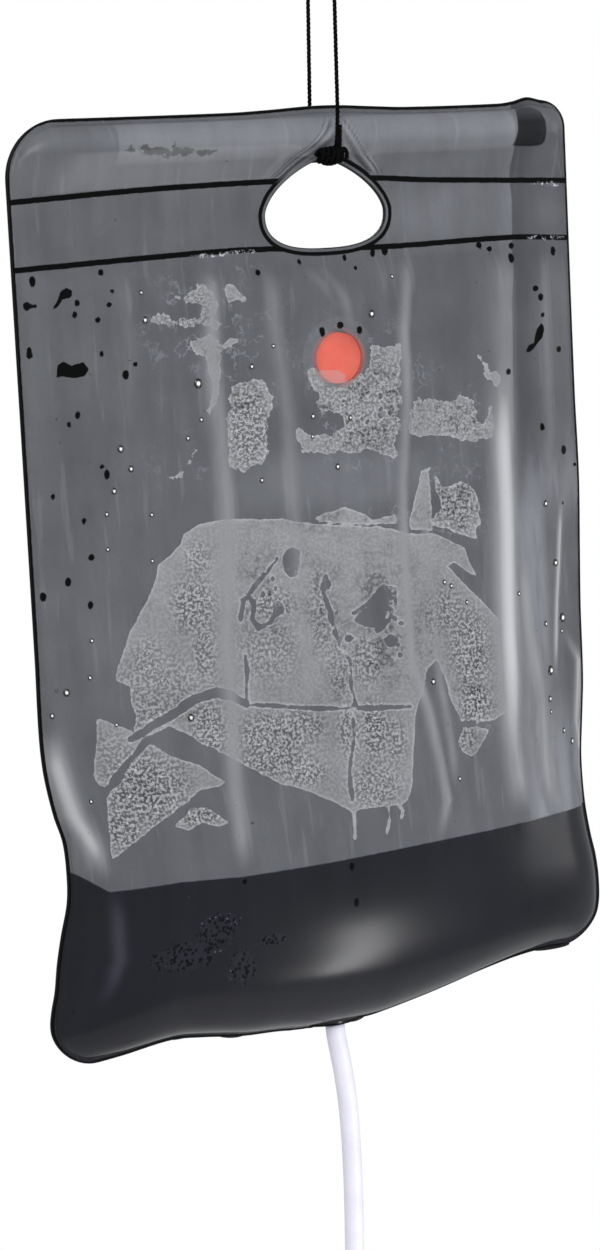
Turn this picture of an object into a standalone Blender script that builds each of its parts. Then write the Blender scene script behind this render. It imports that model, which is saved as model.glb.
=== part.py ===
"""Camp shower bag, hanging from its rope loop and partly filled with water.

Metres, +Z up, the clear front towards -Y. The world's origin is the inside top of the rope loop, where
a hook or a branch holds the bag. The bag is laid out in its own frame first: x across, s down from the
top edge, y through the bag. The empty bag_frame carries that frame under the loop.
"""

import math

import bmesh
import bpy
from mathutils import Matrix, Vector

# Fits and cuts
GAP = 0.0003
OVERRUN = 0.004
MERGE = 0.000001

# The two films and the welds between them
BAG_WIDTH = 0.400
BAG_HEIGHT = 0.588
FILM = 0.0006
WELD = 0.0012
RIM_WIDTH = 0.003
SEAM_WIDTH = 0.003
TOP_LEFT_RADIUS = 0.036
TOP_RIGHT_RADIUS = 0.016
BOTTOM_RADIUS = 0.026

# The rod in the sleeve
ROD_RADIUS = 0.0125
ROD_WALL = 0.0025
ROD_LEFT_ROOM = 0.0446
ROD_RIGHT_ROOM = 0.020
ROD_HEADROOM = 0.0002
ROD_PLAY = 0.020
SLEEVE_SLACK = 0.0005
PLUG_CAP = 0.006
PLUG_DEPTH = 0.016
PLUG_ROUND = 0.003

# The handle opening, its rim drawn up to the knot, and the seams above and below it
OPENING_X = 0.017
OPENING_HALF = 0.0436
OPENING_RISE = 0.0342
OPENING_DROP = 0.0226
OPENING_NECK = 0.0009
RISE_POWER = 1.4
RISE_ROUND = 1.6
DROP_POWER = 2.6
RING_WIDTH = 0.005
OUTLINE_STEPS = 20
UPPER_SEAM_DROP = 0.018
LOWER_SEAM_DROP = 0.0013
SEAM_BOW = 0.004

# How far each film stands out from the middle plane, and where the water stands
DRY_BULGE = 0.0075
DRY_BULGE_RUN = 0.022
BELLY = 0.036
BELLY_LEAD = 0.126
BELLY_HEIGHT = 0.053
BULGE_POWER = 3.4
BULGE_ROUND = 0.62
WATER_HEIGHT = 0.107

# How far the hanging bag's edges move from the flat outline
SIDE_SHIFT = 0.010
BOTTOM_SAG = 0.012
TOP_LIFT = 0.0036

# The rope loop, its strands before and behind the sleeve
ROPE_RADIUS = 0.0014
LOOP_X = 0.0220
LOOP_FOOT_X = 0.0198
LOOP_TWIST = 0.0010
LOOP_FOOT_TWIST = 0.0016
LOOP_RISE = 0.079
KNOT_ANGLE = math.radians(44)
KNOT_RADIUS = 0.0052
KNOT_PLAY = 0.0008
KNOT_TURNS = 3
KNOT_TURN_PITCH = 0.0030
KNOT_GROOVE = 0.0009

# The fill valve on the back film
VALVE_X = 0.027
VALVE_DROP = 0.0705
NECK_BORE = 0.0170
NECK_WALL = 0.0025
NECK_LENGTH = 0.0125
FLANGE_REACH = 0.0075
FLANGE = 0.0012
GASKET = 0.0012
THREAD_PITCH = 0.004
THREAD_HEIGHT = 0.0011
THREAD_PLAY = 0.0005
THREAD_START = 0.0035
THREAD_END = 0.0026
THREAD_PHASE = math.radians(3.7)
CAP_WALL = 0.0027
CAP_TOP = 0.0018
CAP_SKIRT_START = 0.0015
CAP_CUP_WALL = 0.0016
CAP_FACE = 0.0006
GRIP_WIDTH = 0.0045

# The outlet and the hose
OUTLET_X = -0.0035
BOAT_HALF = 0.019
BOAT_COLUMNS = 3
BOAT_THICKNESS = 0.013
BOAT_HEIGHT = 0.010
OUTLET_BORE = 0.003
HOSE_RADIUS = 0.0065
HOSE_WALL = 0.0025

# The tap on the hose's end, its plug running front to back
SOCKET_WALL = 0.0024
SOCKET_DEPTH = 0.010
TAP_NECK_RADIUS = 0.0070
TAP_NECK = 0.006
PLUG_RADIUS = 0.0063
CHAMBER_WALL = 0.0039
CHAMBER_HALF = 0.0125
WATERWAY = 0.003
STEM_RADIUS = 0.0075
STEM = 0.016
PLUG_HEAD_REACH = 0.0019
PLUG_HEAD = 0.002
GROOVE_DEPTH = 0.0015
LEVER_LENGTH = 0.030
LEVER_WIDTH = 0.0075
LEVER_THICK = 0.004
HUB_THICK = 0.005
SCREW_RADIUS = 0.0016
SCREW_HEAD_RADIUS = 0.0032
SCREW_HEAD = 0.0016
SCREW_LENGTH = 0.007

# The shower head
HEAD_SOCKET_WALL = 0.0024
HEAD_SOCKET = 0.012
HEAD_RADIUS = 0.026
HEAD_WALL = 0.002
HEAD_FLARE = 0.026
HEAD_RIM = 0.006
WASHER = 0.0015
ROSE = 0.002
ROSE_LEDGE = 0.0015
ROSE_HOLE = 0.0009
ROSE_COUNTS = (6, 12)

# The hose's route from the outlet downwards
HOSE_ROUTE = (
    (0.0, 0.0, 0.0),
    (0.0003, 0.0, -0.008),
    (0.0022, 0.0, -0.020),
    (0.0049, 0.0, -0.038),
    (0.0070, 0.0, -0.060),
    (0.0081, 0.0003, -0.085),
    (0.0083, 0.0006, -0.115),
    (0.0074, 0.0009, -0.155),
    (0.0054, 0.0010, -0.200),
    (0.0029, 0.0009, -0.250),
    (0.0008, 0.0006, -0.300),
    (-0.0005, 0.0003, -0.350),
    (-0.0010, 0.0, -0.400),
    (-0.0010, 0.0, -0.440),
)

# Sides of the hanging bag: share of the height, share of the side shift
LEFT_SIDE_SHARES = (
    (0.0, 0.0),
    (0.561, 0.05),
    (0.646, 0.10),
    (0.689, -0.05),
    (0.735, -0.54),
    (0.765, -1.04),
    (0.799, -1.18),
    (0.832, -1.08),
    (0.866, -0.53),
    (0.893, -0.15),
    (0.920, 0.12),
    (0.937, 0.40),
    (0.952, 0.56),
    (0.969, 0.50),
    (1.0, 0.20),
)
RIGHT_SIDE_SHARES = (
    (0.0, 0.0),
    (0.323, 0.10),
    (0.425, 0.22),
    (0.510, 0.10),
    (0.578, 0.0),
    (0.663, 0.0),
    (0.714, -0.20),
    (0.757, -0.36),
    (0.808, -0.22),
    (0.850, 0.14),
    (0.884, 0.54),
    (0.918, 0.72),
    (0.952, 0.64),
    (1.0, -0.10),
)

# Bottom and top edges and seams: share of half the width, share of the sag, of the lift or of the bow
BOTTOM_SAG_SHARES = (
    (-1.0, 0.71),
    (-0.90, 0.68),
    (-0.785, 0.53),
    (-0.61, 0.20),
    (-0.50, 0.38),
    (-0.36, 0.73),
    (-0.24, 0.85),
    (-0.13, 1.0),
    (0.10, 0.97),
    (0.19, 0.78),
    (0.34, 0.34),
    (0.45, -0.04),
    (0.54, -0.38),
    (0.70, -0.85),
    (0.835, -1.0),
    (1.0, -0.79),
)
TOP_LIFT_SHARES = (
    (-1.0, 0.0),
    (-0.25, 0.0),
    (-0.10, 0.28),
    (0.05, 0.72),
    (0.15, 0.72),
    (0.275, 0.33),
    (0.40, 0.0),
    (0.75, 0.0),
    (0.805, 0.33),
    (0.86, 1.0),
    (0.915, 0.39),
    (1.0, 0.0),
)
UPPER_BOW_SHARES = ((-1.0, 0.30), (-0.55, -0.70), (-0.125, -1.05), (0.25, -0.92), (0.45, -0.22), (1.0, 1.02))
LOWER_BOW_SHARES = ((-1.0, 0.35), (-0.35, -0.72), (-0.135, -0.70), (0.285, 0.0), (0.785, -0.30), (1.0, 0.30))

# Rows down the water space and columns across the bag, as shares of what they divide
BODY_ROW_SHARES = (0.025, 0.066, 0.14, 0.23, 0.34, 0.46, 0.58, 0.67, 0.733)
WATER_ROW_SHARES = (0.26, 0.54, 0.80)
STRETCH_SHARE = 0.6
WATER_EDGE_SHARE = 0.05
COLUMN_SHARE = 0.316
SIDE_COLUMNS = 4
FINE_LEFT = 4
FINE_RIGHT = 11

# Other shares
KNOT_TAPER_SHARE = 0.3
THREAD_SINK_SHARE = 0.2
THREAD_BASE_SHARE = 0.4
THREAD_CREST_SHARE = 0.2
ROSE_RING_SHARES = (0.34, 0.68)

# Derived sizes and places
HALF_GAP = WELD / 2 + GAP
SLEEVE_RADIUS = ROD_RADIUS + SLEEVE_SLACK
ROD_DEPTH = RIM_WIDTH + SLEEVE_RADIUS + ROD_HEADROOM
ROD_RIGHT = BAG_WIDTH / 2 - ROD_RIGHT_ROOM
ROD_LEFT = ROD_PLAY + ROD_LEFT_ROOM - BAG_WIDTH / 2
SLEEVE_FLOOR = ROD_DEPTH + SLEEVE_RADIUS + GAP
SLEEVE_STEPS = 6
OPENING_TOP = SLEEVE_FLOOR + OPENING_NECK
OPENING_DEPTH = OPENING_TOP + OPENING_RISE
UPPER_SEAM = SLEEVE_FLOOR + UPPER_SEAM_DROP
LOWER_SEAM = OPENING_DEPTH + OPENING_DROP + LOWER_SEAM_DROP
BODY_TOP = LOWER_SEAM + SEAM_BOW + SEAM_WIDTH / 2
BODY_BOTTOM = BAG_HEIGHT - RIM_WIDTH
BELLY_START = BODY_TOP + BELLY_LEAD
BELLY_DEPTH = BAG_HEIGHT - BELLY_HEIGHT
WATER_DEPTH = BAG_HEIGHT - WATER_HEIGHT
WRAP_RADIUS = OPENING_TOP + 2 * GAP + ROPE_RADIUS - ROD_DEPTH
LOOP_DROP = LOOP_RISE + WRAP_RADIUS - ROPE_RADIUS
KNOT_REACH = SLEEVE_RADIUS + FILM + GAP + KNOT_PLAY + KNOT_RADIUS
WRAP_END = math.pi - KNOT_ANGLE - math.asin((KNOT_RADIUS + GAP) / KNOT_REACH)
VALVE_DEPTH = LOWER_SEAM + VALVE_DROP
NECK_RADIUS = NECK_BORE + NECK_WALL
FLANGE_RADIUS = NECK_RADIUS + FLANGE_REACH
THREAD_CREST_RADIUS = NECK_RADIUS + THREAD_HEIGHT
THREAD_TURNS = (NECK_LENGTH - THREAD_START - THREAD_END) / THREAD_PITCH
CAP_BORE = THREAD_CREST_RADIUS + THREAD_PLAY
CAP_RADIUS = CAP_BORE + CAP_WALL
COLUMN_STEP = BOAT_HALF * COLUMN_SHARE
BOAT_TOP = BAG_HEIGHT - BOAT_HEIGHT
CHAMBER_BORE = PLUG_RADIUS + GAP
CHAMBER_RADIUS = CHAMBER_BORE + CHAMBER_WALL
PLUG_HEAD_RADIUS = CHAMBER_BORE + PLUG_HEAD_REACH
RING_SECTION = (GROOVE_DEPTH + GAP) / 2 - GAP
GROOVE_WIDTH = 2 * (RING_SECTION + GAP)
GROOVE_PLACE = (WATERWAY + CHAMBER_HALF) / 2


def material(name, colour, roughness, metallic=0.0, alpha=1.0):
    made = bpy.data.materials.new(name)
    made.use_nodes = True
    shader = made.node_tree.nodes["Principled BSDF"]
    shader.inputs["Base Color"].default_value = (*colour, 1.0)
    shader.inputs["Roughness"].default_value = roughness
    shader.inputs["Metallic"].default_value = metallic
    shader.inputs["Alpha"].default_value = alpha
    made.diffuse_color = (*colour, alpha)
    return made


def add_object(name, data, parent, location=(0, 0, 0), rotation=(0, 0, 0)):
    made = bpy.data.objects.new(name, data)
    bpy.context.scene.collection.objects.link(made)
    made.parent = parent
    made.location = location
    made.rotation_euler = rotation
    return made


def mesh_from(bm, name, colour, smooth=True):
    bmesh.ops.remove_doubles(bm, verts=bm.verts, dist=MERGE)
    bmesh.ops.recalc_face_normals(bm, faces=bm.faces)
    mesh = bpy.data.meshes.new(name)
    bm.to_mesh(mesh)
    bm.free()
    if colour:
        mesh.materials.append(colour)
    if smooth:
        mesh.shade_smooth()
        mesh.set_sharp_from_angle(angle=math.radians(35))
    return mesh


def prism(outline, low, high, place):
    """A solid on a closed outline of (a, b) points, run from low to high; place maps (a, b, c) to a point."""
    bm = bmesh.new()
    ends = [[bm.verts.new(place(a, b, c)) for a, b in outline] for c in (low, high)]
    bm.faces.new(ends[0])
    bm.faces.new(ends[1])
    for k in range(len(outline)):
        after = (k + 1) % len(outline)
        bm.faces.new((ends[0][k], ends[0][after], ends[1][after], ends[1][k]))
    return bm


def turned(profile, steps):
    """A profile of (radius, height) points turned about Z. It is a closed loop, or ends on the axis twice."""
    bm = bmesh.new()
    points = [bm.verts.new((radius, 0, height)) for radius, height in profile]
    on_axis = profile[0][0] == 0 and profile[-1][0] == 0
    pairs = list(zip(points, points[1:])) + ([] if on_axis else [(points[-1], points[0])])
    edges = [bm.edges.new(pair) for pair in pairs]
    bmesh.ops.spin(
        bm,
        geom=points + edges,
        cent=(0, 0, 0),
        axis=(0, 0, 1),
        angle=math.tau,
        steps=steps,
        use_merge=True,
    )
    return bm


def box(size, centre):
    bm = bmesh.new()
    bmesh.ops.create_cube(bm, size=1.0, matrix=Matrix.Translation(centre) @ Matrix.Diagonal((*size, 1.0)))
    return bm


def cylinder(radius, low, high, steps=24):
    return turned(((0, low), (radius, low), (radius, high), (0, high)), steps)


def guide(bm, name, parent, location=(0, 0, 0), rotation=(0, 0, 0)):
    """A shape that only cuts or joins another, and is left out of the model."""
    made = add_object(name, mesh_from(bm, name, None, smooth=False), parent, location, rotation)
    made.hide_render = True
    made.display_type = "WIRE"
    return made


def combine(piece, other, operation):
    modifier = piece.modifiers.new(f"{operation.lower()}_{other.name}", "BOOLEAN")
    modifier.operation = operation
    modifier.object = other


def curve_through(points, count):
    """Even points along one smooth curve through the given ones."""
    knots = [Vector(point) for point in points]
    padded = [2 * knots[0] - knots[1], *knots, 2 * knots[-1] - knots[-2]]
    dense = []
    parts = 16
    for a, b, c, d in zip(padded, padded[1:], padded[2:], padded[3:]):
        for k in range(parts):
            t = k / parts
            dense.append(
                0.5
                * (2 * b + (c - a) * t + (2 * a - 5 * b + 4 * c - d) * t**2 + (3 * b - a - 3 * c + d) * t**3)
            )
    dense.append(knots[-1])
    travelled = [0.0]
    for before, after in zip(dense, dense[1:]):
        travelled.append(travelled[-1] + (after - before).length)
    even = []
    at = 0
    for k in range(count):
        wanted = travelled[-1] * k / (count - 1)
        while at < len(dense) - 2 and travelled[at + 1] < wanted:
            at += 1
        share = (wanted - travelled[at]) / (travelled[at + 1] - travelled[at])
        even.append(dense[at].lerp(dense[at + 1], share))
    return even


def tube(name, points, radius, colour, parent, resolution):
    curve = bpy.data.curves.new(name, "CURVE")
    curve.dimensions = "3D"
    curve.bevel_depth = radius
    curve.bevel_resolution = resolution
    curve.use_fill_caps = True
    spline = curve.splines.new("POLY")
    spline.points.add(len(points) - 1)
    for target, point in zip(spline.points, points):
        target.co = (*point, 1.0)
    spline.use_smooth = True
    curve.materials.append(colour)
    return add_object(name, curve, parent)


def swept_pipe(points, radius, bore):
    """A pipe along points that run nearly straight down."""
    bm = bmesh.new()
    sides = 16
    spots = [math.tau * j / sides for j in range(sides)]
    outer, inner = [], []
    for k, point in enumerate(points):
        along = (points[min(k + 1, len(points) - 1)] - points[max(k - 1, 0)]).normalized()
        if k in (0, len(points) - 1):
            along = Vector((0, 0, -1))
        across = along.cross(Vector((0, 1, 0))).normalized()
        other = along.cross(across)
        ring = [across * math.cos(angle) + other * math.sin(angle) for angle in spots]
        outer.append([bm.verts.new(point + radius * step) for step in ring])
        inner.append([bm.verts.new(point + bore * step) for step in ring])
    pairs = [*zip(outer, outer[1:]), *zip(inner[1:], inner), (inner[0], outer[0]), (outer[-1], inner[-1])]
    for before, after in pairs:
        for j in range(sides):
            bm.faces.new((before[j], before[(j + 1) % sides], after[(j + 1) % sides], after[j]))
    return bm


def smooth_step(value):
    value = min(1.0, max(0.0, value))
    return value * value * (3 - 2 * value)


def read(table, at):
    """The value of a table of (place, value) pairs, smooth between its rows."""
    at = min(table[-1][0], max(table[0][0], at))
    k = 0
    while k < len(table) - 2 and table[k + 1][0] < at:
        k += 1
    before, after = table[max(0, k - 1)], table[min(len(table) - 1, k + 2)]
    (low, a), (high, b) = table[k], table[k + 1]
    run = high - low
    out_slope = (b - before[1]) / (high - before[0]) * run
    in_slope = (after[1] - a) / (after[0] - low) * run
    t = (at - low) / run
    ends = a * (2 * t**3 - 3 * t**2 + 1) + b * (3 * t**2 - 2 * t**3)
    return ends + out_slope * (t**3 - 2 * t**2 + t) + in_slope * (t**3 - t**2)


def hang(x, s, y):
    """Where a point of the flat bag goes when the bag hangs. The water's surface stays level."""
    half = BAG_WIDTH / 2
    shift = SIDE_SHIFT * read(LEFT_SIDE_SHARES if x < 0 else RIGHT_SIDE_SHARES, s / BAG_HEIGHT)
    lift = TOP_LIFT * read(TOP_LIFT_SHARES, x / half) * (1 - smooth_step(s / ROD_DEPTH))
    sag = BOTTOM_SAG * read(BOTTOM_SAG_SHARES, x / half) * smooth_step((s - WATER_DEPTH) / WATER_HEIGHT)
    return Vector((x * (1 + shift / half), y, lift - s - sag))


def upper_seam(x):
    return UPPER_SEAM + SEAM_BOW * read(UPPER_BOW_SHARES, x / (BAG_WIDTH / 2))


def lower_seam(x):
    return LOWER_SEAM + SEAM_BOW * read(LOWER_BOW_SHARES, x / (BAG_WIDTH / 2))


def corner_cut(reach, radius):
    if reach >= radius:
        return 0.0
    return radius - math.sqrt(max(0.0, radius**2 - (radius - reach) ** 2))


def edge(side, s, inset=0.0):
    """How far the flat outline, or a line inside it, lies from the middle at depth s. Left is -1."""
    top = (TOP_LEFT_RADIUS if side < 0 else TOP_RIGHT_RADIUS) - inset
    upper = corner_cut(max(0.0, s - inset), top)
    lower = corner_cut(max(0.0, BAG_HEIGHT - inset - s), BOTTOM_RADIUS - inset)
    return BAG_WIDTH / 2 - inset - upper - lower


def inner_edge(side, s):
    """The rim weld's inner line."""
    return min(edge(side, s, RIM_WIDTH), edge(side, s) - RIM_WIDTH / 2)


def opening_top(x):
    """Depth of the opening's upper rim at x, or None beside the opening."""
    share = abs(x - OPENING_X) / OPENING_HALF
    if share >= 1:
        return None
    return OPENING_DEPTH - OPENING_RISE * (1 - share**RISE_POWER) ** (1 / RISE_ROUND)


def opening_half(s):
    """Half the opening's width at depth s, above its widest place."""
    share = min(1.0, (OPENING_DEPTH - s) / OPENING_RISE)
    return OPENING_HALF * (1 - share**RISE_ROUND) ** (1 / RISE_POWER)


def opening_outline():
    """The opening's rim as (x, s) points, clockwise from its right end."""
    points = []
    for k in range(2 * OUTLINE_STEPS):
        angle = math.pi * k / OUTLINE_STEPS
        across = math.cos(angle)
        if k <= OUTLINE_STEPS:
            down = OPENING_DROP * (1 - abs(across) ** DROP_POWER) ** (1 / DROP_POWER)
        else:
            down = -OPENING_RISE * (1 - abs(across) ** RISE_POWER) ** (1 / RISE_ROUND)
        points.append((OPENING_X + OPENING_HALF * across, OPENING_DEPTH + down))
    return points


def sleeve_bottom(x):
    """Depth at which the sleeve's films meet: along the seam, or round the drawn-up opening."""
    seam = upper_seam(x) - SEAM_WIDTH / 2
    rim = opening_top(x)
    if rim is None:
        return seam
    return min(seam, max(rim - RING_WIDTH, SLEEVE_FLOOR))


def sleeve_open(x, s):
    """1 where the rod holds the sleeve open, falling to 0 at the rim."""
    side = 1 if x > 0 else -1
    held = ROD_RIGHT + GAP if side > 0 else ROD_PLAY + GAP - ROD_LEFT
    beyond = (abs(x) - held) / (inner_edge(side, s) - held)
    return math.sqrt(1 - min(1.0, max(0.0, beyond)) ** 2)


def sleeve_row(x, k):
    """(s, half gap) of the k-th row round the rod: flat to the films' meeting lines above and below."""
    rise = math.asin((SLEEVE_RADIUS - HALF_GAP) / (ROD_DEPTH - RIM_WIDTH))
    fall = math.asin((SLEEVE_RADIUS - HALF_GAP) / (sleeve_bottom(x) - ROD_DEPTH))
    step = (rise + fall) / SLEEVE_STEPS
    angle = rise - k * step
    radius = SLEEVE_RADIUS / math.cos(step / 2)
    return ROD_DEPTH - radius * math.sin(angle), radius * math.cos(angle)


def belly(s):
    start = DRY_BULGE * math.sin(min(1.0, (s - BODY_TOP) / DRY_BULGE_RUN) * math.pi / 2)
    full = start + (BELLY - DRY_BULGE) * smooth_step((s - BELLY_START) / (BELLY_DEPTH - BELLY_START))
    below = max(0.0, (s - BELLY_DEPTH) / (BODY_BOTTOM - BELLY_DEPTH))
    return full * math.sqrt(max(0.0, 1 - below**2))


def boat_half(x):
    """Half the outlet fitting's thickness at x."""
    return BOAT_THICKNESS / 2 * (1 - ((x - OUTLET_X) / BOAT_HALF) ** 2)


def body_half(x, s):
    """Half the clear gap between the films in the water space."""
    side = 1 if x > 0 else -1
    across = min(1.0, abs(x) / inner_edge(side, s))
    half = HALF_GAP + belly(s) * (1 - across**BULGE_POWER) ** BULGE_ROUND
    if abs(x - OUTLET_X) < BOAT_HALF and s > BOAT_TOP:
        half = max(half, boat_half(x) + GAP)
    return half


def columns():
    """Places across the bag: fine at the outlet and the opening, and at the rod's ends."""
    left = OUTLET_X - FINE_LEFT * COLUMN_STEP
    right = OUTLET_X + FINE_RIGHT * COLUMN_STEP
    held_left = ROD_LEFT - ROD_PLAY - GAP
    held_right = ROD_RIGHT + GAP
    rim = BAG_WIDTH / 2 - RIM_WIDTH
    places = [-BAG_WIDTH / 2, -rim, (held_left - rim) / 2]
    places += [held_left + (left - held_left) * k / SIDE_COLUMNS for k in range(SIDE_COLUMNS)]
    places += [left + k * COLUMN_STEP for k in range(FINE_LEFT + FINE_RIGHT)]
    places += [right + (held_right - right) * k / SIDE_COLUMNS for k in range(SIDE_COLUMNS + 1)]
    places += [(held_right + rim) / 2, rim, BAG_WIDTH / 2]
    return places


def across_at(x, s):
    """A column's place at depth s: columns near the sides follow the rounded corners."""
    side = 1 if x > 0 else -1
    fixed = STRETCH_SHARE * BAG_WIDTH / 2
    rim = BAG_WIDTH / 2 - RIM_WIDTH
    if abs(x) <= fixed:
        return x
    if abs(x) > rim:
        return side * edge(side, s)
    return side * (fixed + (abs(x) - fixed) * (inner_edge(side, s) - fixed) / (rim - fixed))


def body_rows():
    """Depths of the rows down the water space, with one at the water's surface and one above the outlet."""
    water_bottom = BOAT_TOP - GAP
    rows = [BODY_TOP + share * (BODY_BOTTOM - BODY_TOP) for share in BODY_ROW_SHARES]
    rows += [WATER_DEPTH + share * (water_bottom - WATER_DEPTH) for share in (0, *WATER_ROW_SHARES, 1)]
    return rows


def bottom_rows():
    return ((BOAT_TOP + BODY_BOTTOM) / 2, BODY_BOTTOM, BAG_HEIGHT)


def film_grid():
    """Rows of (x, s, half gap) over the whole film, top edge first."""
    places = columns()
    rows = [[(across_at(x, depth), depth, HALF_GAP) for x in places] for depth in (0, RIM_WIDTH)]
    for k in range(SLEEVE_STEPS + 1):
        row = []
        for place in places:
            x = across_at(place, sleeve_row(place, k)[0])
            s, half = sleeve_row(x, k)
            row.append((x, s, HALF_GAP + (half - HALF_GAP) * sleeve_open(x, s)))
        rows.append(row)
    rows.append([(x, sleeve_bottom(x), HALF_GAP) for x in places])
    rows += [[(x, seam(x) + SEAM_WIDTH / 2, HALF_GAP) for x in places] for seam in (upper_seam, lower_seam)]
    rows += [[(across_at(x, s), s) for x in places] for s in body_rows()]
    rows += [[(across_at(x, s), s) for x in places] for s in bottom_rows()]
    return [[point if len(point) == 3 else (*point, body_half(*point)) for point in row] for row in rows]


def patch(bm, rows, i, j):
    """Two triangles on one cell of a grid of points, always split the same way, so that sheets stay apart."""
    bm.faces.new((rows[i][j], rows[i][j + 1], rows[i + 1][j + 1]))
    bm.faces.new((rows[i][j], rows[i + 1][j + 1], rows[i + 1][j]))


def offset(grid, distance):
    """The grid of points moved square to its own surface, towards the front."""
    high, wide = len(grid), len(grid[0])
    moved = []
    for i in range(high):
        row = []
        for j in range(wide):
            along = grid[min(i + 1, high - 1)][j] - grid[max(i - 1, 0)][j]
            across = grid[i][min(j + 1, wide - 1)] - grid[i][max(j - 1, 0)]
            row.append(grid[i][j] + along.cross(across).normalized() * distance)
        moved.append(row)
    return moved


def hung_grid(side):
    """The inner surface of the front (-1) or back (1) film, as rows of points."""
    return [[hang(x, s, side * half) for x, s, half in row] for row in film_grid()]


def shell(grid, thickness):
    """A thin closed sheet: one surface on the grid of points, the other a film's thickness away."""
    bm = bmesh.new()
    high, wide = len(grid), len(grid[0])
    inner = [[bm.verts.new(point) for point in row] for row in grid]
    outer = [[bm.verts.new(point) for point in row] for row in offset(grid, thickness)]
    for i in range(high - 1):
        for j in range(wide - 1):
            patch(bm, inner, i, j)
            patch(bm, outer, i, j)
    rim = [(0, j) for j in range(wide)] + [(i, wide - 1) for i in range(1, high)]
    rim += [(high - 1, j) for j in range(wide - 2, -1, -1)] + [(i, 0) for i in range(high - 2, 0, -1)]
    for (a, b), (c, d) in zip(rim, rim[1:] + rim[:1]):
        bm.faces.new((inner[a][b], outer[a][b], outer[c][d], inner[c][d]))
    return bm


def make_films(frame):
    clear = material("clear_film", (0.42, 0.43, 0.45), 0.25, alpha=0.45)
    black = material("black_film", (0.02, 0.021, 0.024), 0.35)
    front = shell(hung_grid(-1), FILM)
    back = shell(hung_grid(1), -FILM)
    films = {
        "front_film": add_object("front_film", mesh_from(front, "front_film", clear), frame),
        "back_film": add_object("back_film", mesh_from(back, "back_film", black), frame),
    }
    reach = SLEEVE_RADIUS + BELLY
    cutter = guide(prism(opening_outline(), -reach, reach, hang), "opening_cutter", frame)
    for film in films.values():
        combine(film, cutter, "DIFFERENCE")
    return films


def rim_points(inset, side, skip):
    """Points along one side's rim from the bottom middle up to the top middle, as (x, s)."""
    top_radius = (TOP_LEFT_RADIUS if side < 0 else TOP_RIGHT_RADIUS) - inset
    low_radius = BOTTOM_RADIUS - inset
    wall = BAG_WIDTH / 2 - inset
    points = []
    steps = 10
    first = side * OUTLET_X + skip
    for k in range(steps):
        points.append((first + (wall - low_radius - first) * k / steps, BAG_HEIGHT - inset))
    for k in range(steps):
        angle = math.pi / 2 * k / steps
        points.append(
            (
                wall - low_radius + low_radius * math.sin(angle),
                BAG_HEIGHT - inset - low_radius + low_radius * math.cos(angle),
            )
        )
    tall = BAG_HEIGHT - 2 * inset - low_radius - top_radius
    for k in range(2 * steps):
        points.append((wall, BAG_HEIGHT - inset - low_radius - tall * k / (2 * steps)))
    for k in range(steps):
        angle = math.pi / 2 * k / steps
        points.append(
            (
                wall - top_radius + top_radius * math.cos(angle),
                inset + top_radius - top_radius * math.sin(angle),
            )
        )
    for k in range(steps):
        points.append(((wall - top_radius) * (1 - k / steps), inset))
    return [(side * x, s) for x, s in points]


def make_welds(frame):
    """The strips where the films are fused: the rim, two seams in halves, and the ring round the opening."""
    black = material("weld", (0.006, 0.006, 0.007), 0.4)

    def add(name, outline):
        strip = prism(outline, -WELD / 2, WELD / 2, hang)
        return add_object(name, mesh_from(strip, name, black, smooth=False), frame)

    skip = BOAT_COLUMNS * COLUMN_STEP + 2 * GAP
    outside = rim_points(0.0, -1, skip) + rim_points(0.0, 1, skip)[::-1]
    inside = rim_points(RIM_WIDTH, -1, skip) + rim_points(RIM_WIDTH, 1, skip)[::-1]
    strip_between("edge_weld", outside, inside, black, frame, closed=False)

    end = BAG_WIDTH / 2 - RIM_WIDTH - GAP
    beside = opening_half(upper_seam(OPENING_X)) + 2 * RING_WIDTH
    for name, seam, near in (("upper_seam", upper_seam, beside), ("lower_seam", lower_seam, OPENING_HALF)):
        add(f"{name}_left", strip_outline(seam, -end, OPENING_X - near))
        add(f"{name}_right", strip_outline(seam, OPENING_X + near, end))

    rim = opening_outline()
    ring = []
    for k, (x, s) in enumerate(rim):
        before, after = rim[k - 1], rim[(k + 1) % len(rim)]
        across, down = after[0] - before[0], after[1] - before[1]
        long = math.hypot(across, down)
        ring.append((x + down / long * RING_WIDTH, max(s - across / long * RING_WIDTH, SLEEVE_FLOOR)))
    strip_between("opening_weld", ring, rim, black, frame, closed=True)


def strip_outline(seam, left, right):
    steps = 12
    middle = [(x, seam(x)) for x in (left + (right - left) * k / steps for k in range(steps + 1))]
    above = [(x, s - SEAM_WIDTH / 2) for x, s in middle]
    return above + [(x, s + SEAM_WIDTH / 2) for x, s in reversed(middle)]


def strip_between(name, outside, inside, colour, frame, closed):
    """A flat strip between two lines of (x, s) points, as thick as the weld."""
    bm = bmesh.new()
    rings = []
    for line, y in ((outside, -WELD / 2), (inside, -WELD / 2), (inside, WELD / 2), (outside, WELD / 2)):
        rings.append([bm.verts.new(hang(x, s, y)) for x, s in line])
    count = len(outside)
    for k in range(count if closed else count - 1):
        after = (k + 1) % count
        for a, b in zip(rings, rings[1:] + rings[:1]):
            bm.faces.new((a[k], a[after], b[after], b[k]))
    if not closed:
        bm.faces.new([ring[0] for ring in rings])
        bm.faces.new([ring[-1] for ring in rings])
    return add_object(name, mesh_from(bm, name, colour, smooth=False), frame)


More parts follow.
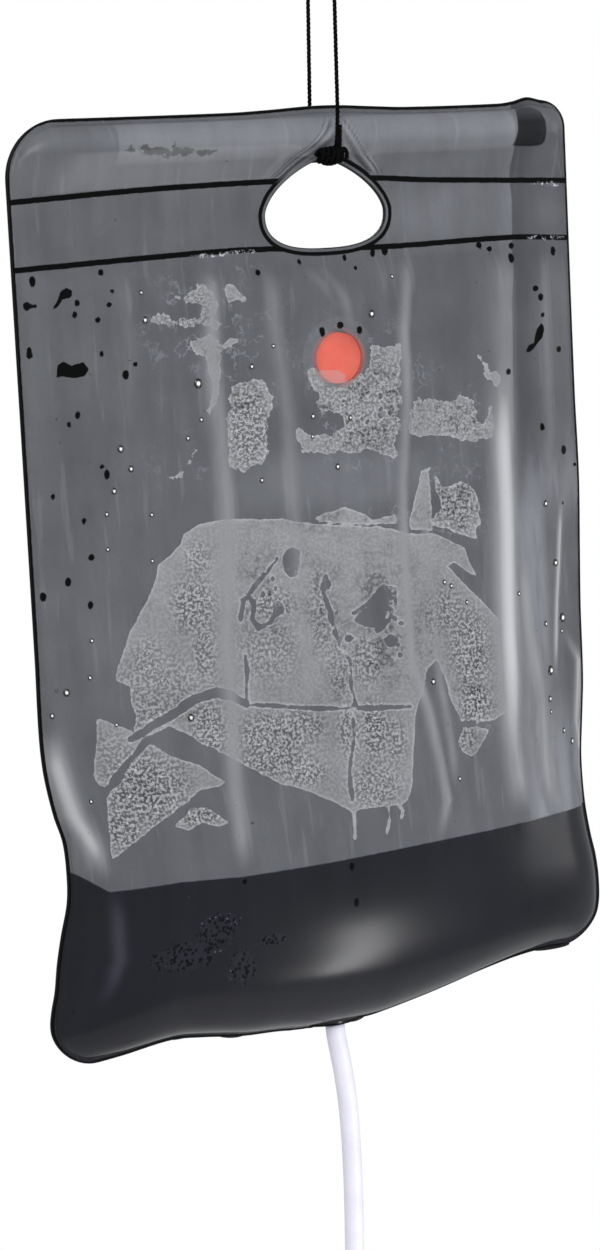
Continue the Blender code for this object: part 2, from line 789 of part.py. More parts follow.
def make_water(frame):
    """The water, from its level surface down to just above the outlet fitting."""
    water = material("water", (0.05, 0.06, 0.07), 0.05, alpha=0.5)
    high, wide = len(WATER_ROW_SHARES) + 2, len(columns()) - 2
    below = len(bottom_rows())
    bm = bmesh.new()
    sides = []
    for side in (-1, 1):
        rows = offset(hung_grid(side), side * GAP)[-below - high:-below]
        rows = [row[1:-1] for row in rows]
        for row in rows:
            row[0] = row[0].lerp(row[1], WATER_EDGE_SHARE)
            row[-1] = row[-1].lerp(row[-2], WATER_EDGE_SHARE)
        sides.append([[bm.verts.new(point) for point in row] for row in rows])
    front, back = sides
    for i in range(high - 1):
        for j in range(wide - 1):
            for rows in sides:
                patch(bm, rows, i, j)
        for j in (0, wide - 1):
            bm.faces.new((front[i][j], front[i + 1][j], back[i + 1][j], back[i][j]))
    for i in (0, high - 1):
        for j in range(wide - 1):
            bm.faces.new((front[i][j], front[i][j + 1], back[i][j + 1], back[i][j]))
    add_object("water_fill", mesh_from(bm, "water_fill", water), frame)


def make_rod(frame):
    """The tube in the sleeve, with a plug in each end. The rod's empty slides along X."""
    axis = add_object("rod_axis", None, frame, (0, 0, -ROD_DEPTH), (0, math.pi / 2, 0))
    grey = material("rod", (0.34, 0.35, 0.37), 0.4)
    black = material("rod_plug", (0.015, 0.015, 0.017), 0.4)
    low, high = ROD_LEFT + PLUG_CAP, ROD_RIGHT - PLUG_CAP
    bore = ROD_RADIUS - ROD_WALL
    wall = ((bore, low), (ROD_RADIUS, low), (ROD_RADIUS, high), (bore, high))
    add_object("handle_rod", mesh_from(turned(wall, 28), "handle_rod", grey), axis)
    inner = bore - GAP
    rounded = [
        (
            ROD_RADIUS - PLUG_ROUND + PLUG_ROUND * math.cos(angle),
            PLUG_CAP - PLUG_ROUND + PLUG_ROUND * math.sin(angle),
        )
        for angle in (math.pi / 2 * k / 4 for k in range(5))
    ]
    profile = [(0, -PLUG_DEPTH), (inner, -PLUG_DEPTH), (inner, GAP), (ROD_RADIUS, GAP)]
    profile += [*rounded, (0, PLUG_CAP)]
    plug = mesh_from(turned(profile, 28), "rod_plug", black)
    add_object("rod_plug_right", plug, axis, (0, 0, high))
    add_object("rod_plug_left", plug, axis, (0, 0, low), (math.pi, 0, 0))


def make_rope(frame):
    rope = material("rope", (0.004, 0.004, 0.004), 0.8)
    front = Vector((LOOP_FOOT_X + LOOP_FOOT_TWIST, -WRAP_RADIUS, 0))
    rear = Vector((LOOP_FOOT_X - LOOP_FOOT_TWIST, WRAP_RADIUS, 0))
    front_top = Vector((LOOP_X + LOOP_TWIST, -WRAP_RADIUS, LOOP_RISE))
    rear_top = Vector((LOOP_X - LOOP_TWIST, WRAP_RADIUS, LOOP_RISE))
    middle = (front_top + rear_top) / 2
    away, below = KNOT_REACH * math.cos(KNOT_ANGLE), KNOT_REACH * math.sin(KNOT_ANGLE)
    knot = Vector((LOOP_FOOT_X, -away, -ROD_DEPTH - below))
    knot_half = KNOT_TURNS * KNOT_TURN_PITCH / 2
    start = knot.z + knot_half + GAP
    tie = Vector((knot.x, knot.y, start))
    lean = (front - tie) * Vector((1, 1, 0))
    route = [tie + lean * share + Vector((0, 0, -start * share)) for share in (0, 0.15, 0.4, 0.7)]
    for point, share in zip(route, (0, 0.4, 0.85, 1)):
        point.y = tie.y + lean.y * share
    route += [front.lerp(front_top, share) for share in (0, 1 / 4, 1 / 2, 3 / 4)]
    bight = 8
    for k in range(bight + 1):
        angle = math.pi * k / bight
        spot = middle + (front_top - middle) * math.cos(angle)
        route.append(spot + Vector((0, 0, WRAP_RADIUS * math.sin(angle))))
    route += [rear.lerp(rear_top, share) for share in (3 / 4, 1 / 2, 1 / 4, 0)]
    turns = 6
    for k in range(turns + 1):
        angle = WRAP_END * k / turns
        spot = Vector((rear.x, WRAP_RADIUS * math.cos(angle), -ROD_DEPTH - WRAP_RADIUS * math.sin(angle)))
        route.append(spot)
    tube("hanging_rope", curve_through(route, 72), ROPE_RADIUS, rope, frame, 2)

    profile = [(0, -knot_half)]
    bumps = 6 * KNOT_TURNS
    for k in range(bumps + 1):
        height = -knot_half + 2 * knot_half * k / bumps
        groove = KNOT_GROOVE * abs(math.cos(math.pi * KNOT_TURNS * k / bumps))
        full = KNOT_RADIUS * (1 - KNOT_TAPER_SHARE * (height / knot_half) ** 2)
        profile.append((full - groove, height))
    profile.append((0, knot_half))
    add_object("rope_knot", mesh_from(turned(profile, 16), "rope_knot", rope), frame, knot)


def helix_ridge(base, crest, start, phase):
    """A thread's ridge: a tapered bar wound on the radius base, standing to the radius crest."""
    bm = bmesh.new()
    per_turn = 24
    count = round(THREAD_TURNS * per_turn)
    wide = THREAD_PITCH * THREAD_BASE_SHARE / 2
    thin = THREAD_PITCH * THREAD_CREST_SHARE / 2
    section = ((base, -wide), (crest, -thin), (crest, thin), (base, wide))
    rings = []
    for k in range(count + 1):
        angle = math.tau * k / per_turn
        height = start + THREAD_PITCH * k / per_turn
        turn = Matrix.Rotation(angle + phase, 4, "Z")
        corners = (Vector((radius, 0, height + offset)) for radius, offset in section)
        rings.append([bm.verts.new(turn @ corner) for corner in corners])
    for before, after in zip(rings, rings[1:]):
        for a in range(4):
            b = (a + 1) % 4
            bm.faces.new((before[a], before[b], after[b], after[a]))
    bm.faces.new(rings[0])
    bm.faces.new(rings[-1])
    return bm


def make_valve(frame, films):
    """The fill valve: neck, cap and gasket on an axis that points out of the back film."""
    seat = body_half(VALVE_X, VALVE_DEPTH)
    place = hang(VALVE_X, VALVE_DEPTH, seat + FILM)
    axis = add_object("valve_axis", None, frame, place, (-math.pi / 2, 0, 0))
    hole = guide(cylinder(NECK_RADIUS + GAP, -OVERRUN, OVERRUN, 32), "neck_cutter", axis)
    combine(films["back_film"], hole, "DIFFERENCE")

    sunk = THREAD_HEIGHT * THREAD_SINK_SHARE
    clear = material("valve", (0.55, 0.55, 0.57), 0.3, alpha=0.6)
    under = -FILM - GAP
    profile = (
        (NECK_BORE, under - FLANGE),
        (FLANGE_RADIUS, under - FLANGE),
        (FLANGE_RADIUS, under),
        (NECK_RADIUS, under),
        (NECK_RADIUS, NECK_LENGTH),
        (NECK_BORE, NECK_LENGTH),
    )
    neck = add_object("valve_body", mesh_from(turned(profile, 36), "valve_body", clear), axis)
    ridge = helix_ridge(NECK_RADIUS - sunk, THREAD_CREST_RADIUS, THREAD_START, THREAD_PHASE)
    combine(neck, guide(ridge, "neck_thread", axis), "UNION")

    rubber = material("cap_gasket", (0.02, 0.02, 0.02), 0.7)
    low = NECK_LENGTH + GAP
    ring = (
        (NECK_BORE, low),
        (THREAD_CREST_RADIUS, low),
        (THREAD_CREST_RADIUS, low + GASKET),
        (NECK_BORE, low + GASKET),
    )
    add_object("cap_gasket", mesh_from(turned(ring, 32), "cap_gasket", rubber), axis)

    red = material("fill_cap", (0.78, 0.12, 0.07), 0.4)
    shelf = low + GASKET + GAP
    top = shelf + CAP_TOP
    cup = NECK_BORE - GAP
    profile = (
        (0, CAP_FACE),
        (cup, CAP_FACE),
        (cup, shelf),
        (CAP_BORE, shelf),
        (CAP_BORE, CAP_SKIRT_START),
        (CAP_RADIUS, CAP_SKIRT_START),
        (CAP_RADIUS, top),
        (cup - CAP_CUP_WALL, top),
        (cup - CAP_CUP_WALL, CAP_FACE + CAP_CUP_WALL),
        (0, CAP_FACE + CAP_CUP_WALL),
    )
    cap = add_object("fill_cap", mesh_from(turned(profile, 36), "fill_cap", red), axis)
    floor = CAP_FACE + CAP_CUP_WALL / 2
    length = 2 * (cup - CAP_CUP_WALL / 2)
    bar = box((length, GRIP_WIDTH, top - floor), (0, 0, (top + floor) / 2))
    combine(cap, guide(bar, "cap_grip", axis), "UNION")
    ridge = helix_ridge(CAP_BORE + sunk, CAP_BORE - THREAD_HEIGHT, THREAD_START, math.pi + THREAD_PHASE)
    combine(cap, guide(ridge, "cap_thread", axis), "UNION")


def make_outlet(frame):
    """The fitting welded into the bottom edge: a boat-shaped block with the outlet bored through it."""
    black = material("outlet", (0.015, 0.015, 0.017), 0.4)
    spots = [OUTLET_X + k * COLUMN_STEP for k in range(-BOAT_COLUMNS, BOAT_COLUMNS + 1)]
    outline = [(x, -boat_half(x)) for x in spots] + [(x, boat_half(x)) for x in reversed(spots)]
    boat = prism(outline, BOAT_TOP, BAG_HEIGHT, lambda x, y, s: hang(x, s, y))
    block = add_object("outlet_boat", mesh_from(boat, "outlet_boat", black, smooth=False), frame)
    bottom = hang(OUTLET_X, BAG_HEIGHT, 0)
    bore = cylinder(OUTLET_BORE, -OVERRUN, 2 * BOAT_HEIGHT + OVERRUN, 20)
    combine(block, guide(bore, "outlet_cutter", frame, bottom), "DIFFERENCE")


def make_hose(frame):
    """The hose, from the outlet's flat bottom to the tap. Returns where it ends."""
    start = hang(OUTLET_X, BAG_HEIGHT, 0)
    start.z -= GAP
    white = material("hose", (0.78, 0.77, 0.85), 0.35)
    route = [start + Vector(step) for step in HOSE_ROUTE]
    pipe = swept_pipe(curve_through(route, 26), HOSE_RADIUS, HOSE_RADIUS - HOSE_WALL)
    add_object("hose", mesh_from(pipe, "hose", white), frame)
    return route[-1]


def make_tap(frame, hose_end):
    """The quarter-turn tap. Its empty sits on the plug's axis, and plug_axis turns with the lever."""
    drop = GAP + TAP_NECK + CHAMBER_RADIUS
    centre = add_object("tap_centre", None, frame, hose_end - Vector((0, 0, drop)))
    black = material("tap_body", (0.02, 0.02, 0.022), 0.4)
    floor = CHAMBER_RADIUS + TAP_NECK
    foot = -CHAMBER_RADIUS - STEM
    socket = HOSE_RADIUS + GAP
    profile = (
        (0, foot),
        (STEM_RADIUS, foot),
        (STEM_RADIUS, 0),
        (TAP_NECK_RADIUS, 0),
        (TAP_NECK_RADIUS, floor - TAP_NECK / 2),
        (socket + SOCKET_WALL, floor),
        (socket + SOCKET_WALL, floor + SOCKET_DEPTH),
        (socket, floor + SOCKET_DEPTH),
        (socket, floor),
        (0, floor),
    )
    body = add_object("tap_body", mesh_from(turned(profile, 28), "tap_body", black), centre)
    across = (math.pi / 2, 0, 0)
    chamber = cylinder(CHAMBER_RADIUS, -CHAMBER_HALF, CHAMBER_HALF, 28)
    combine(body, guide(chamber, "tap_chamber", centre, rotation=across), "UNION")
    bore = cylinder(CHAMBER_BORE, -CHAMBER_HALF - OVERRUN, CHAMBER_HALF + OVERRUN, 28)
    combine(body, guide(bore, "tap_bore", centre, rotation=across), "DIFFERENCE")
    way = cylinder(WATERWAY, foot - OVERRUN, floor + OVERRUN, 16)
    combine(body, guide(way, "tap_waterway", centre), "DIFFERENCE")

    plug_axis = add_object("plug_axis", None, centre, rotation=across)
    make_plug(plug_axis)
    return centre, foot


def make_plug(axis):
    """The plug with its rings, lever and screw, on an axis whose +Z points to the front."""
    grey = material("tap_plug", (0.55, 0.55, 0.57), 0.35)
    front = CHAMBER_HALF + GAP
    head = -CHAMBER_HALF - GAP
    groove = PLUG_RADIUS - GROOVE_DEPTH
    profile = [(0, head - PLUG_HEAD), (PLUG_HEAD_RADIUS, head - PLUG_HEAD), (PLUG_HEAD_RADIUS, head)]
    profile.append((PLUG_RADIUS, head))
    for place in (-GROOVE_PLACE, GROOVE_PLACE):
        low, high = place - GROOVE_WIDTH / 2, place + GROOVE_WIDTH / 2
        profile += [(PLUG_RADIUS, low), (groove, low), (groove, high), (PLUG_RADIUS, high)]
    profile += [(PLUG_RADIUS, front), (0, front)]
    plug = add_object("tap_plug", mesh_from(turned(profile, 32), "tap_plug", grey), axis)
    way = cylinder(WATERWAY, -PLUG_RADIUS - OVERRUN, PLUG_RADIUS + OVERRUN, 16)
    combine(plug, guide(way, "plug_waterway", axis, rotation=(0, math.pi / 2, 0)), "DIFFERENCE")
    hole = cylinder(SCREW_RADIUS + GAP, front - SCREW_LENGTH + HUB_THICK - GAP, front + OVERRUN, 16)
    combine(plug, guide(hole, "screw_hole", axis), "DIFFERENCE")

    rubber = material("plug_ring", (0.02, 0.02, 0.02), 0.7)
    middle = (groove + CHAMBER_BORE) / 2
    sides = 6
    section = [
        (
            middle + RING_SECTION * math.cos(math.tau * k / sides),
            RING_SECTION * math.sin(math.tau * k / sides),
        )
        for k in range(sides)
    ]
    ring = mesh_from(turned(section, 20), "plug_ring", rubber)
    add_object("plug_ring_front", ring, axis, (0, 0, GROOVE_PLACE))
    add_object("plug_ring_rear", ring, axis, (0, 0, -GROOVE_PLACE))

    red = material("tap_lever", (0.78, 0.12, 0.07), 0.4)
    low, bore = front + GAP, SCREW_RADIUS + GAP
    top = low + HUB_THICK
    hub = turned(((bore, low), (PLUG_HEAD_RADIUS, low), (PLUG_HEAD_RADIUS, top), (bore, top)), 28)
    lever = add_object("tap_lever", mesh_from(hub, "tap_lever", red), axis)
    inner = (SCREW_RADIUS + PLUG_HEAD_RADIUS) / 2
    height = low + HUB_THICK - LEVER_THICK / 2
    bar = box((LEVER_LENGTH - inner, LEVER_WIDTH, LEVER_THICK), ((LEVER_LENGTH + inner) / 2, 0, height))
    combine(lever, guide(bar, "lever_bar", axis), "UNION")
    tip = cylinder(LEVER_WIDTH / 2 + GAP, height - LEVER_THICK / 2 - GAP, low + HUB_THICK, 20)
    combine(lever, guide(tip, "lever_tip", axis, (LEVER_LENGTH, 0, 0)), "UNION")

    steel = material("lever_screw", (0.6, 0.6, 0.6), 0.3, metallic=1.0)
    seat = low + HUB_THICK + GAP
    profile = (
        (0, seat - SCREW_LENGTH),
        (SCREW_RADIUS, seat - SCREW_LENGTH),
        (SCREW_RADIUS, seat),
        (SCREW_HEAD_RADIUS, seat),
        (SCREW_HEAD_RADIUS - SCREW_HEAD / 3, seat + SCREW_HEAD),
        (0, seat + SCREW_HEAD),
    )
    add_object("lever_screw", mesh_from(turned(profile, 20), "lever_screw", steel), axis)


def make_shower_head(centre, foot):
    """The head that turns on the tap's stem, its washer, and the pierced rose plate."""
    axis = add_object("head_axis", None, centre, (0, 0, foot))
    black = material("shower_head", (0.02, 0.02, 0.022), 0.4)
    inner = STEM_RADIUS + GAP
    outer = inner + HEAD_SOCKET_WALL
    shelf = -GAP - WASHER - GAP
    under = shelf - HEAD_WALL
    rim = under - HEAD_FLARE
    bottom = rim - HEAD_RIM
    plate = bottom + ROSE
    profile = (
        (WATERWAY, shelf),
        (inner, shelf),
        (inner, HEAD_SOCKET + shelf),
        (outer, HEAD_SOCKET + shelf),
        (outer, under),
        (HEAD_RADIUS, rim),
        (HEAD_RADIUS, bottom),
        (HEAD_RADIUS - HEAD_WALL, bottom),
        (HEAD_RADIUS - HEAD_WALL, plate + GAP),
        (HEAD_RADIUS - HEAD_WALL - ROSE_LEDGE, plate + GAP),
        (HEAD_RADIUS - HEAD_WALL - ROSE_LEDGE, rim),
        (outer - HEAD_WALL, under),
        (WATERWAY, under),
    )
    add_object("shower_head", mesh_from(turned(profile, 36), "shower_head", black), axis)
    rubber = material("head_washer", (0.02, 0.02, 0.02), 0.7)
    low = shelf + GAP
    ring = ((WATERWAY, low), (inner - GAP, low), (inner - GAP, low + WASHER), (WATERWAY, low + WASHER))
    add_object("head_washer", mesh_from(turned(ring, 24), "head_washer", rubber), axis)

    grey = material("rose_plate", (0.55, 0.55, 0.57), 0.35)
    disc = cylinder(HEAD_RADIUS - HEAD_WALL - GAP, bottom, plate, 36)
    rose = add_object("rose_plate", mesh_from(disc, "rose_plate", grey), axis)
    holes = bmesh.new()
    for share, count in zip(ROSE_RING_SHARES, ROSE_COUNTS):
        radius = (HEAD_RADIUS - HEAD_WALL) * share
        for k in range(count):
            angle = math.tau * k / count
            across, along = radius * math.cos(angle), radius * math.sin(angle)
            spot = Matrix.Translation((across, along, (bottom + plate) / 2))
            bmesh.ops.create_cone(
                holes,
                cap_ends=True,
                segments=6,
                radius1=ROSE_HOLE,
                radius2=ROSE_HOLE,
                depth=ROSE + 2 * OVERRUN,
                matrix=spot,
            )
    combine(rose, guide(holes, "rose_holes", axis), "DIFFERENCE")


def main():
    for old in list(bpy.data.objects):
        bpy.data.objects.remove(old, do_unlink=True)
    frame = add_object("bag_frame", None, None, (-LOOP_X, 0, -LOOP_DROP))
    films = make_films(frame)
    make_welds(frame)
    make_water(frame)
    make_rod(frame)
    make_rope(frame)
    make_valve(frame, films)
    make_outlet(frame)
    hose_end = make_hose(frame)
    centre, foot = make_tap(frame, hose_end)
    make_shower_head(centre, foot)


main()
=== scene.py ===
import math

import bmesh
import bpy
import numpy as np
from mathutils import Matrix, Vector


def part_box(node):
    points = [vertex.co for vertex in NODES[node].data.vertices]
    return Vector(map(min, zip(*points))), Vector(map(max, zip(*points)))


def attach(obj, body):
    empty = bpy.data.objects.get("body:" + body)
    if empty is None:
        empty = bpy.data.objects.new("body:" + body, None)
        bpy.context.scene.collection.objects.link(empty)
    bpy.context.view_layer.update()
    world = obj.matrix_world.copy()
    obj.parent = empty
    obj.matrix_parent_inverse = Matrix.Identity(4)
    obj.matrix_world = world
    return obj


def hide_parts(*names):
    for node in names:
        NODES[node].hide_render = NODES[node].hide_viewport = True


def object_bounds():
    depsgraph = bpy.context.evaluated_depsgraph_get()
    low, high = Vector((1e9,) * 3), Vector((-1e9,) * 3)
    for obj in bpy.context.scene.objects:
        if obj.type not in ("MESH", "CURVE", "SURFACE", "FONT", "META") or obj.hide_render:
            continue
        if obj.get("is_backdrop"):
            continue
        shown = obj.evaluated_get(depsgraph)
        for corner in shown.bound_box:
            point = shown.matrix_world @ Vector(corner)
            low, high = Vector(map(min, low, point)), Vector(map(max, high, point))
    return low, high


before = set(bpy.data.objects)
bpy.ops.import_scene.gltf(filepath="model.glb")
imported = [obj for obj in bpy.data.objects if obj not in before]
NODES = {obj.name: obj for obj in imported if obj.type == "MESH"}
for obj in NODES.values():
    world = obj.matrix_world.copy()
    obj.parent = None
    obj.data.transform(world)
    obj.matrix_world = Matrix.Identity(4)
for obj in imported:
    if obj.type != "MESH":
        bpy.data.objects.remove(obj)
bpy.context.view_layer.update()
MM = 0.001

# The camera's place in metres, its turn, tilt and roll in degrees, and its lens in millimetres
CAMERA_AT = (-0.8646, -1.6525, -0.1447)
CAMERA_ANGLES = (26.60, 8.59, -2.80)
CAMERA_LENS = 171.66

# The bag's sizes, as in the CAD source: x across, s down from the top edge, y through
BAG_AT = Vector((-0.0220, 0.0, -0.0938))
BAG_WIDTH = 0.400
BAG_HEIGHT = 0.588
FILM = 0.0006
HALF_GAP = 0.0009
RIM_WIDTH = 0.003
SEAM_WIDTH = 0.003
TOP_LEFT_RADIUS = 0.036
TOP_RIGHT_RADIUS = 0.016
BOTTOM_RADIUS = 0.026
SLEEVE_RADIUS = 0.013
ROD_DEPTH = 0.0162
ROD_LEFT = -0.1354
ROD_RIGHT = 0.180
ROD_PLAY = 0.020
SLEEVE_FLOOR = 0.0295
OPENING_X = 0.017
OPENING_HALF = 0.0436
OPENING_TOP = 0.0304
OPENING_RISE = 0.0342
OPENING_DEPTH = 0.0646
OPENING_DROP = 0.0226
RISE_POWER = 1.4
RISE_ROUND = 1.6
DROP_POWER = 2.6
RING_WIDTH = 0.005
UPPER_SEAM = 0.0475
LOWER_SEAM = 0.0885
SEAM_BOW = 0.004
BODY_TOP = 0.094
DRY_BULGE = 0.0075
DRY_BULGE_RUN = 0.022
BELLY = 0.036
BELLY_START = 0.220
BELLY_DEPTH = 0.535
BULGE_POWER = 3.4
BULGE_ROUND = 0.62
WATER_DEPTH = 0.481
SIDE_SHIFT = 0.010
BOTTOM_SAG = 0.012
TOP_LIFT = 0.0036
OUTLET_X = -0.0035
BOAT_HALF = 0.019
BOAT_THICKNESS = 0.013
BOAT_TOP = 0.578
OUTLET_CLEAR = 0.0182
VALVE_X = 0.027
VALVE_DEPTH = 0.159
VALVE_HOLE = 0.0198
WINDOW_X = 0.0175
FLANGE_RADIUS = 0.027
HOSE_RADIUS = 0.0065
HOSE_BORE = 0.004
ROPE_RADIUS = 0.0014
ROPE_STRANDS = 3
ROPE_PITCH = 0.0085
ROPE_SPACING = 0.0009
HOSE_SPACING = 0.004
FILM_CLEAR = 0.0003
BLACK_END = 0.019
WINDOW_RADIUS = 0.018
WATER_INSET = 0.004

# How far folds take to grow in from the sides, below the lower seam and in the band between the
# seams, and how far the water takes to still them
SIDE_RUN = 0.012
BODY_RUN = 0.030
BAND_RUN = 0.008
WATER_RUN = 0.030

# How far a film's columns part round its holes, and the steps of its columns and rows
OPENING_REACH = 0.070
VALVE_REACH = 0.060
FRONT_STEP = 0.0017
BACK_STEP = 0.0036

# Half widths and half thicknesses of the fused strips, how far the rim's lies inside the outline,
# and how far the ring's lies outside the opening
RIM_STRIP = (0.0021, 0.0015)
SEAM_STRIP = (0.0015, 0.0007)
RING_STRIP = (0.0024, 0.0014)
RIM_INSET = 0.0013
RING_OUT = 0.0022

# Sides, bottom and top of the hanging bag and bows of its seams: places and moves as shares, in turn
LEFT_SIDE = (
    0.0, 0.0, 0.561, 0.05, 0.646, 0.1, 0.689, -0.05, 0.735, -0.54, 0.765, -1.04, 0.799, -1.18, 0.832, -1.08,
    0.866, -0.53, 0.893, -0.15, 0.92, 0.12, 0.937, 0.4, 0.952, 0.56, 0.969, 0.5, 1.0, 0.2,
)
RIGHT_SIDE = (
    0.0, 0.0, 0.323, 0.1, 0.425, 0.22, 0.51, 0.1, 0.578, 0.0, 0.663, 0.0, 0.714, -0.2, 0.757, -0.36, 0.808,
    -0.22, 0.85, 0.14, 0.884, 0.54, 0.918, 0.72, 0.952, 0.64, 1.0, -0.1,
)
BOTTOM_LINE = (
    -1.0, 0.71, -0.9, 0.68, -0.785, 0.53, -0.61, 0.2, -0.5, 0.38, -0.36, 0.73, -0.24, 0.85, -0.13, 1.0, 0.1,
    0.97, 0.19, 0.78, 0.34, 0.34, 0.45, -0.04, 0.54, -0.38, 0.7, -0.85, 0.835, -1.0, 1.0, -0.79,
)
TOP_LINE = (
    -1.0, 0.0, -0.25, 0.0, -0.1, 0.28, 0.05, 0.72, 0.15, 0.72, 0.275, 0.33, 0.4, 0.0, 0.75, 0.0, 0.805, 0.33,
    0.86, 1.0, 0.915, 0.39, 1.0, 0.0,
)
UPPER_BOW = (-1.0, 0.3, -0.55, -0.7, -0.125, -1.05, 0.25, -0.92, 0.45, -0.22, 1.0, 1.02)
LOWER_BOW = (-1.0, 0.35, -0.35, -0.72, -0.135, -0.7, 0.285, 0.0, 0.785, -0.3, 1.0, 0.3)

# The hose's and the rope's routes, in metres
HOSE_START = (-0.0255352, 0.0, -0.6942822)
HOSE_STEPS = (
    (0.0, 0.0, 0.0), (0.0003, 0.0, -0.008), (0.0022, 0.0, -0.020), (0.0049, 0.0, -0.038),
    (0.0070, 0.0, -0.060), (0.0081, 0.0003, -0.085), (0.0083, 0.0006, -0.115),
    (0.0074, 0.0009, -0.155), (0.0054, 0.0010, -0.200), (0.0029, 0.0009, -0.250),
    (0.0008, 0.0006, -0.300), (-0.0005, 0.0003, -0.350), (-0.0010, 0.0, -0.400),
    (-0.0010, 0.0, -0.440),
)
ROPE_ROUTE = (
    (-0.0022, -0.01431, -0.11902), (-0.00196, -0.01507, -0.11524), (-0.00156, -0.01592, -0.10893),
    (-0.00108, -0.0162, -0.10137), (-0.0006, -0.0162, -0.0938), (-0.0002, -0.0162, -0.07405),
    (0.0002, -0.0162, -0.0543), (0.0006, -0.0162, -0.03455), (0.001, -0.0162, -0.0148),
    (0.00092, -0.01497, -0.0086), (0.00071, -0.01146, -0.00334), (0.00038, -0.0062, 0.00017),
    (0.0, 0.0, 0.0014), (-0.00038, 0.0062, 0.00017), (-0.00071, 0.01146, -0.00334),
    (-0.00092, 0.01497, -0.0086), (-0.001, 0.0162, -0.0148), (-0.0017, 0.0162, -0.03455),
    (-0.0024, 0.0162, -0.0543), (-0.0031, 0.0162, -0.07405), (-0.0038, 0.0162, -0.0938),
    (-0.0038, 0.0162, -0.11), (-0.0038, 0.01522, -0.11554), (-0.0038, 0.01241, -0.12041),
    (-0.0038, 0.00811, -0.12403), (-0.0038, 0.00282, -0.12595), (-0.0038, -0.0028, -0.12596),
    (-0.0038, -0.00809, -0.12404),
)
KNOT_TAIL = (
    (-0.0012, -0.0160, -0.1195), (-0.0008, -0.0176, -0.1150), (-0.0003, -0.0174, -0.1090),
    (0.0000, -0.0175, -0.1035),
)
# How far the wound knot's middle lies from the plain one's, and its width, depth and height
KNOT_MOVE = (-0.0038, -0.0010, 0.0016)
KNOT_SIZE = (0.0225, 0.0170, 0.0135)


def make_camera():
    """The photograph's camera: turned to the right, a little down, and rolled."""
    yaw, pitch, roll = (math.radians(angle) for angle in CAMERA_ANGLES)
    forward = Vector((math.sin(yaw) * math.cos(pitch), math.cos(yaw) * math.cos(pitch), -math.sin(pitch)))
    level = Vector((math.cos(yaw), -math.sin(yaw), 0.0))
    above = level.cross(forward)
    right = math.cos(roll) * level + math.sin(roll) * above
    up = math.cos(roll) * above - math.sin(roll) * level
    data = bpy.data.cameras.new("camera")
    data.lens = CAMERA_LENS
    data.sensor_width = 36.0
    data.sensor_fit = "HORIZONTAL"
    camera = bpy.data.objects.new("camera", data)
    turn = Matrix((right, up, -forward)).transposed().to_4x4()
    camera.matrix_world = Matrix.Translation(Vector(CAMERA_AT)) @ turn
    bpy.context.scene.collection.objects.link(camera)
    bpy.context.scene.camera = camera


# Shape of the bag, on whole arrays of places


def smooth(value):
    value = np.clip(value, 0.0, 1.0)
    return value * value * (3 - 2 * value)


def read(table, at):
    """The value of a table of places and values at a place, smooth between them."""
    place, value = np.array(table, float).reshape(-1, 2).T
    at = np.clip(at, place[0], place[-1])
    k = np.clip(np.searchsorted(place, at, side="right") - 1, 0, len(place) - 2)
    before, after = np.maximum(k - 1, 0), np.minimum(k + 2, len(place) - 1)
    low, high, a, b = place[k], place[k + 1], value[k], value[k + 1]
    run = high - low
    leaving = (b - value[before]) / (high - place[before]) * run
    arriving = (value[after] - a) / (place[after] - low) * run
    t = (at - low) / run
    level = a * (2 * t**3 - 3 * t**2 + 1) + b * (3 * t**2 - 2 * t**3)
    return level + leaving * (t**3 - 2 * t**2 + t) + arriving * (t**3 - t**2)


def hang(x, s, y):
    """World places of points of the flat bag once it hangs."""
    half = BAG_WIDTH / 2
    shift = SIDE_SHIFT * np.where(x < 0, read(LEFT_SIDE, s / BAG_HEIGHT), read(RIGHT_SIDE, s / BAG_HEIGHT))
    lift = TOP_LIFT * read(TOP_LINE, x / half) * (1 - smooth(s / ROD_DEPTH))
    sag = BOTTOM_SAG * read(BOTTOM_LINE, x / half) * smooth((s - WATER_DEPTH) / (BAG_HEIGHT - WATER_DEPTH))
    return np.stack([x * (1 + shift / half) + BAG_AT.x, y + BAG_AT.y, lift - s - sag + BAG_AT.z], axis=-1)


def upper_seam(x):
    return UPPER_SEAM + SEAM_BOW * read(UPPER_BOW, x / (BAG_WIDTH / 2))


def lower_seam(x):
    return LOWER_SEAM + SEAM_BOW * read(LOWER_BOW, x / (BAG_WIDTH / 2))


def corner_cut(reach, radius):
    inside = np.clip(radius - reach, 0.0, None)
    return np.where(reach >= radius, 0.0, radius - np.sqrt(np.maximum(0.0, radius**2 - inside**2)))


def edge(x, s, inset=0.0):
    """How far the flat outline, or a line inside it, lies from the middle at depth s, on x's side."""
    top = np.where(x < 0, TOP_LEFT_RADIUS, TOP_RIGHT_RADIUS) - inset
    upper = corner_cut(np.maximum(0.0, s - inset), top)
    lower = corner_cut(np.maximum(0.0, BAG_HEIGHT - inset - s), BOTTOM_RADIUS - inset)
    return BAG_WIDTH / 2 - inset - upper - lower


def inner_edge(x, s):
    return np.minimum(edge(x, s, RIM_WIDTH), edge(x, s) - RIM_WIDTH / 2)


def across_at(x, s):
    """A column's place at depth s: columns near the sides follow the rounded corners."""
    fixed = 0.6 * BAG_WIDTH / 2
    rim = BAG_WIDTH / 2 - RIM_WIDTH
    side = np.sign(x)
    away = np.abs(x)
    bent = fixed + (away - fixed) * (inner_edge(x, s) - fixed) / (rim - fixed)
    fused = inner_edge(x, s) + (away - rim) / RIM_WIDTH * (edge(x, s) - inner_edge(x, s))
    return np.where(away <= fixed, x, side * np.where(away > rim, fused, bent))


def sheet_places(rows, columns):
    """The x and s of a sheet's points, row by row."""
    s, x = np.meshgrid(rows, columns, indexing="ij")
    return across_at(x, s), s


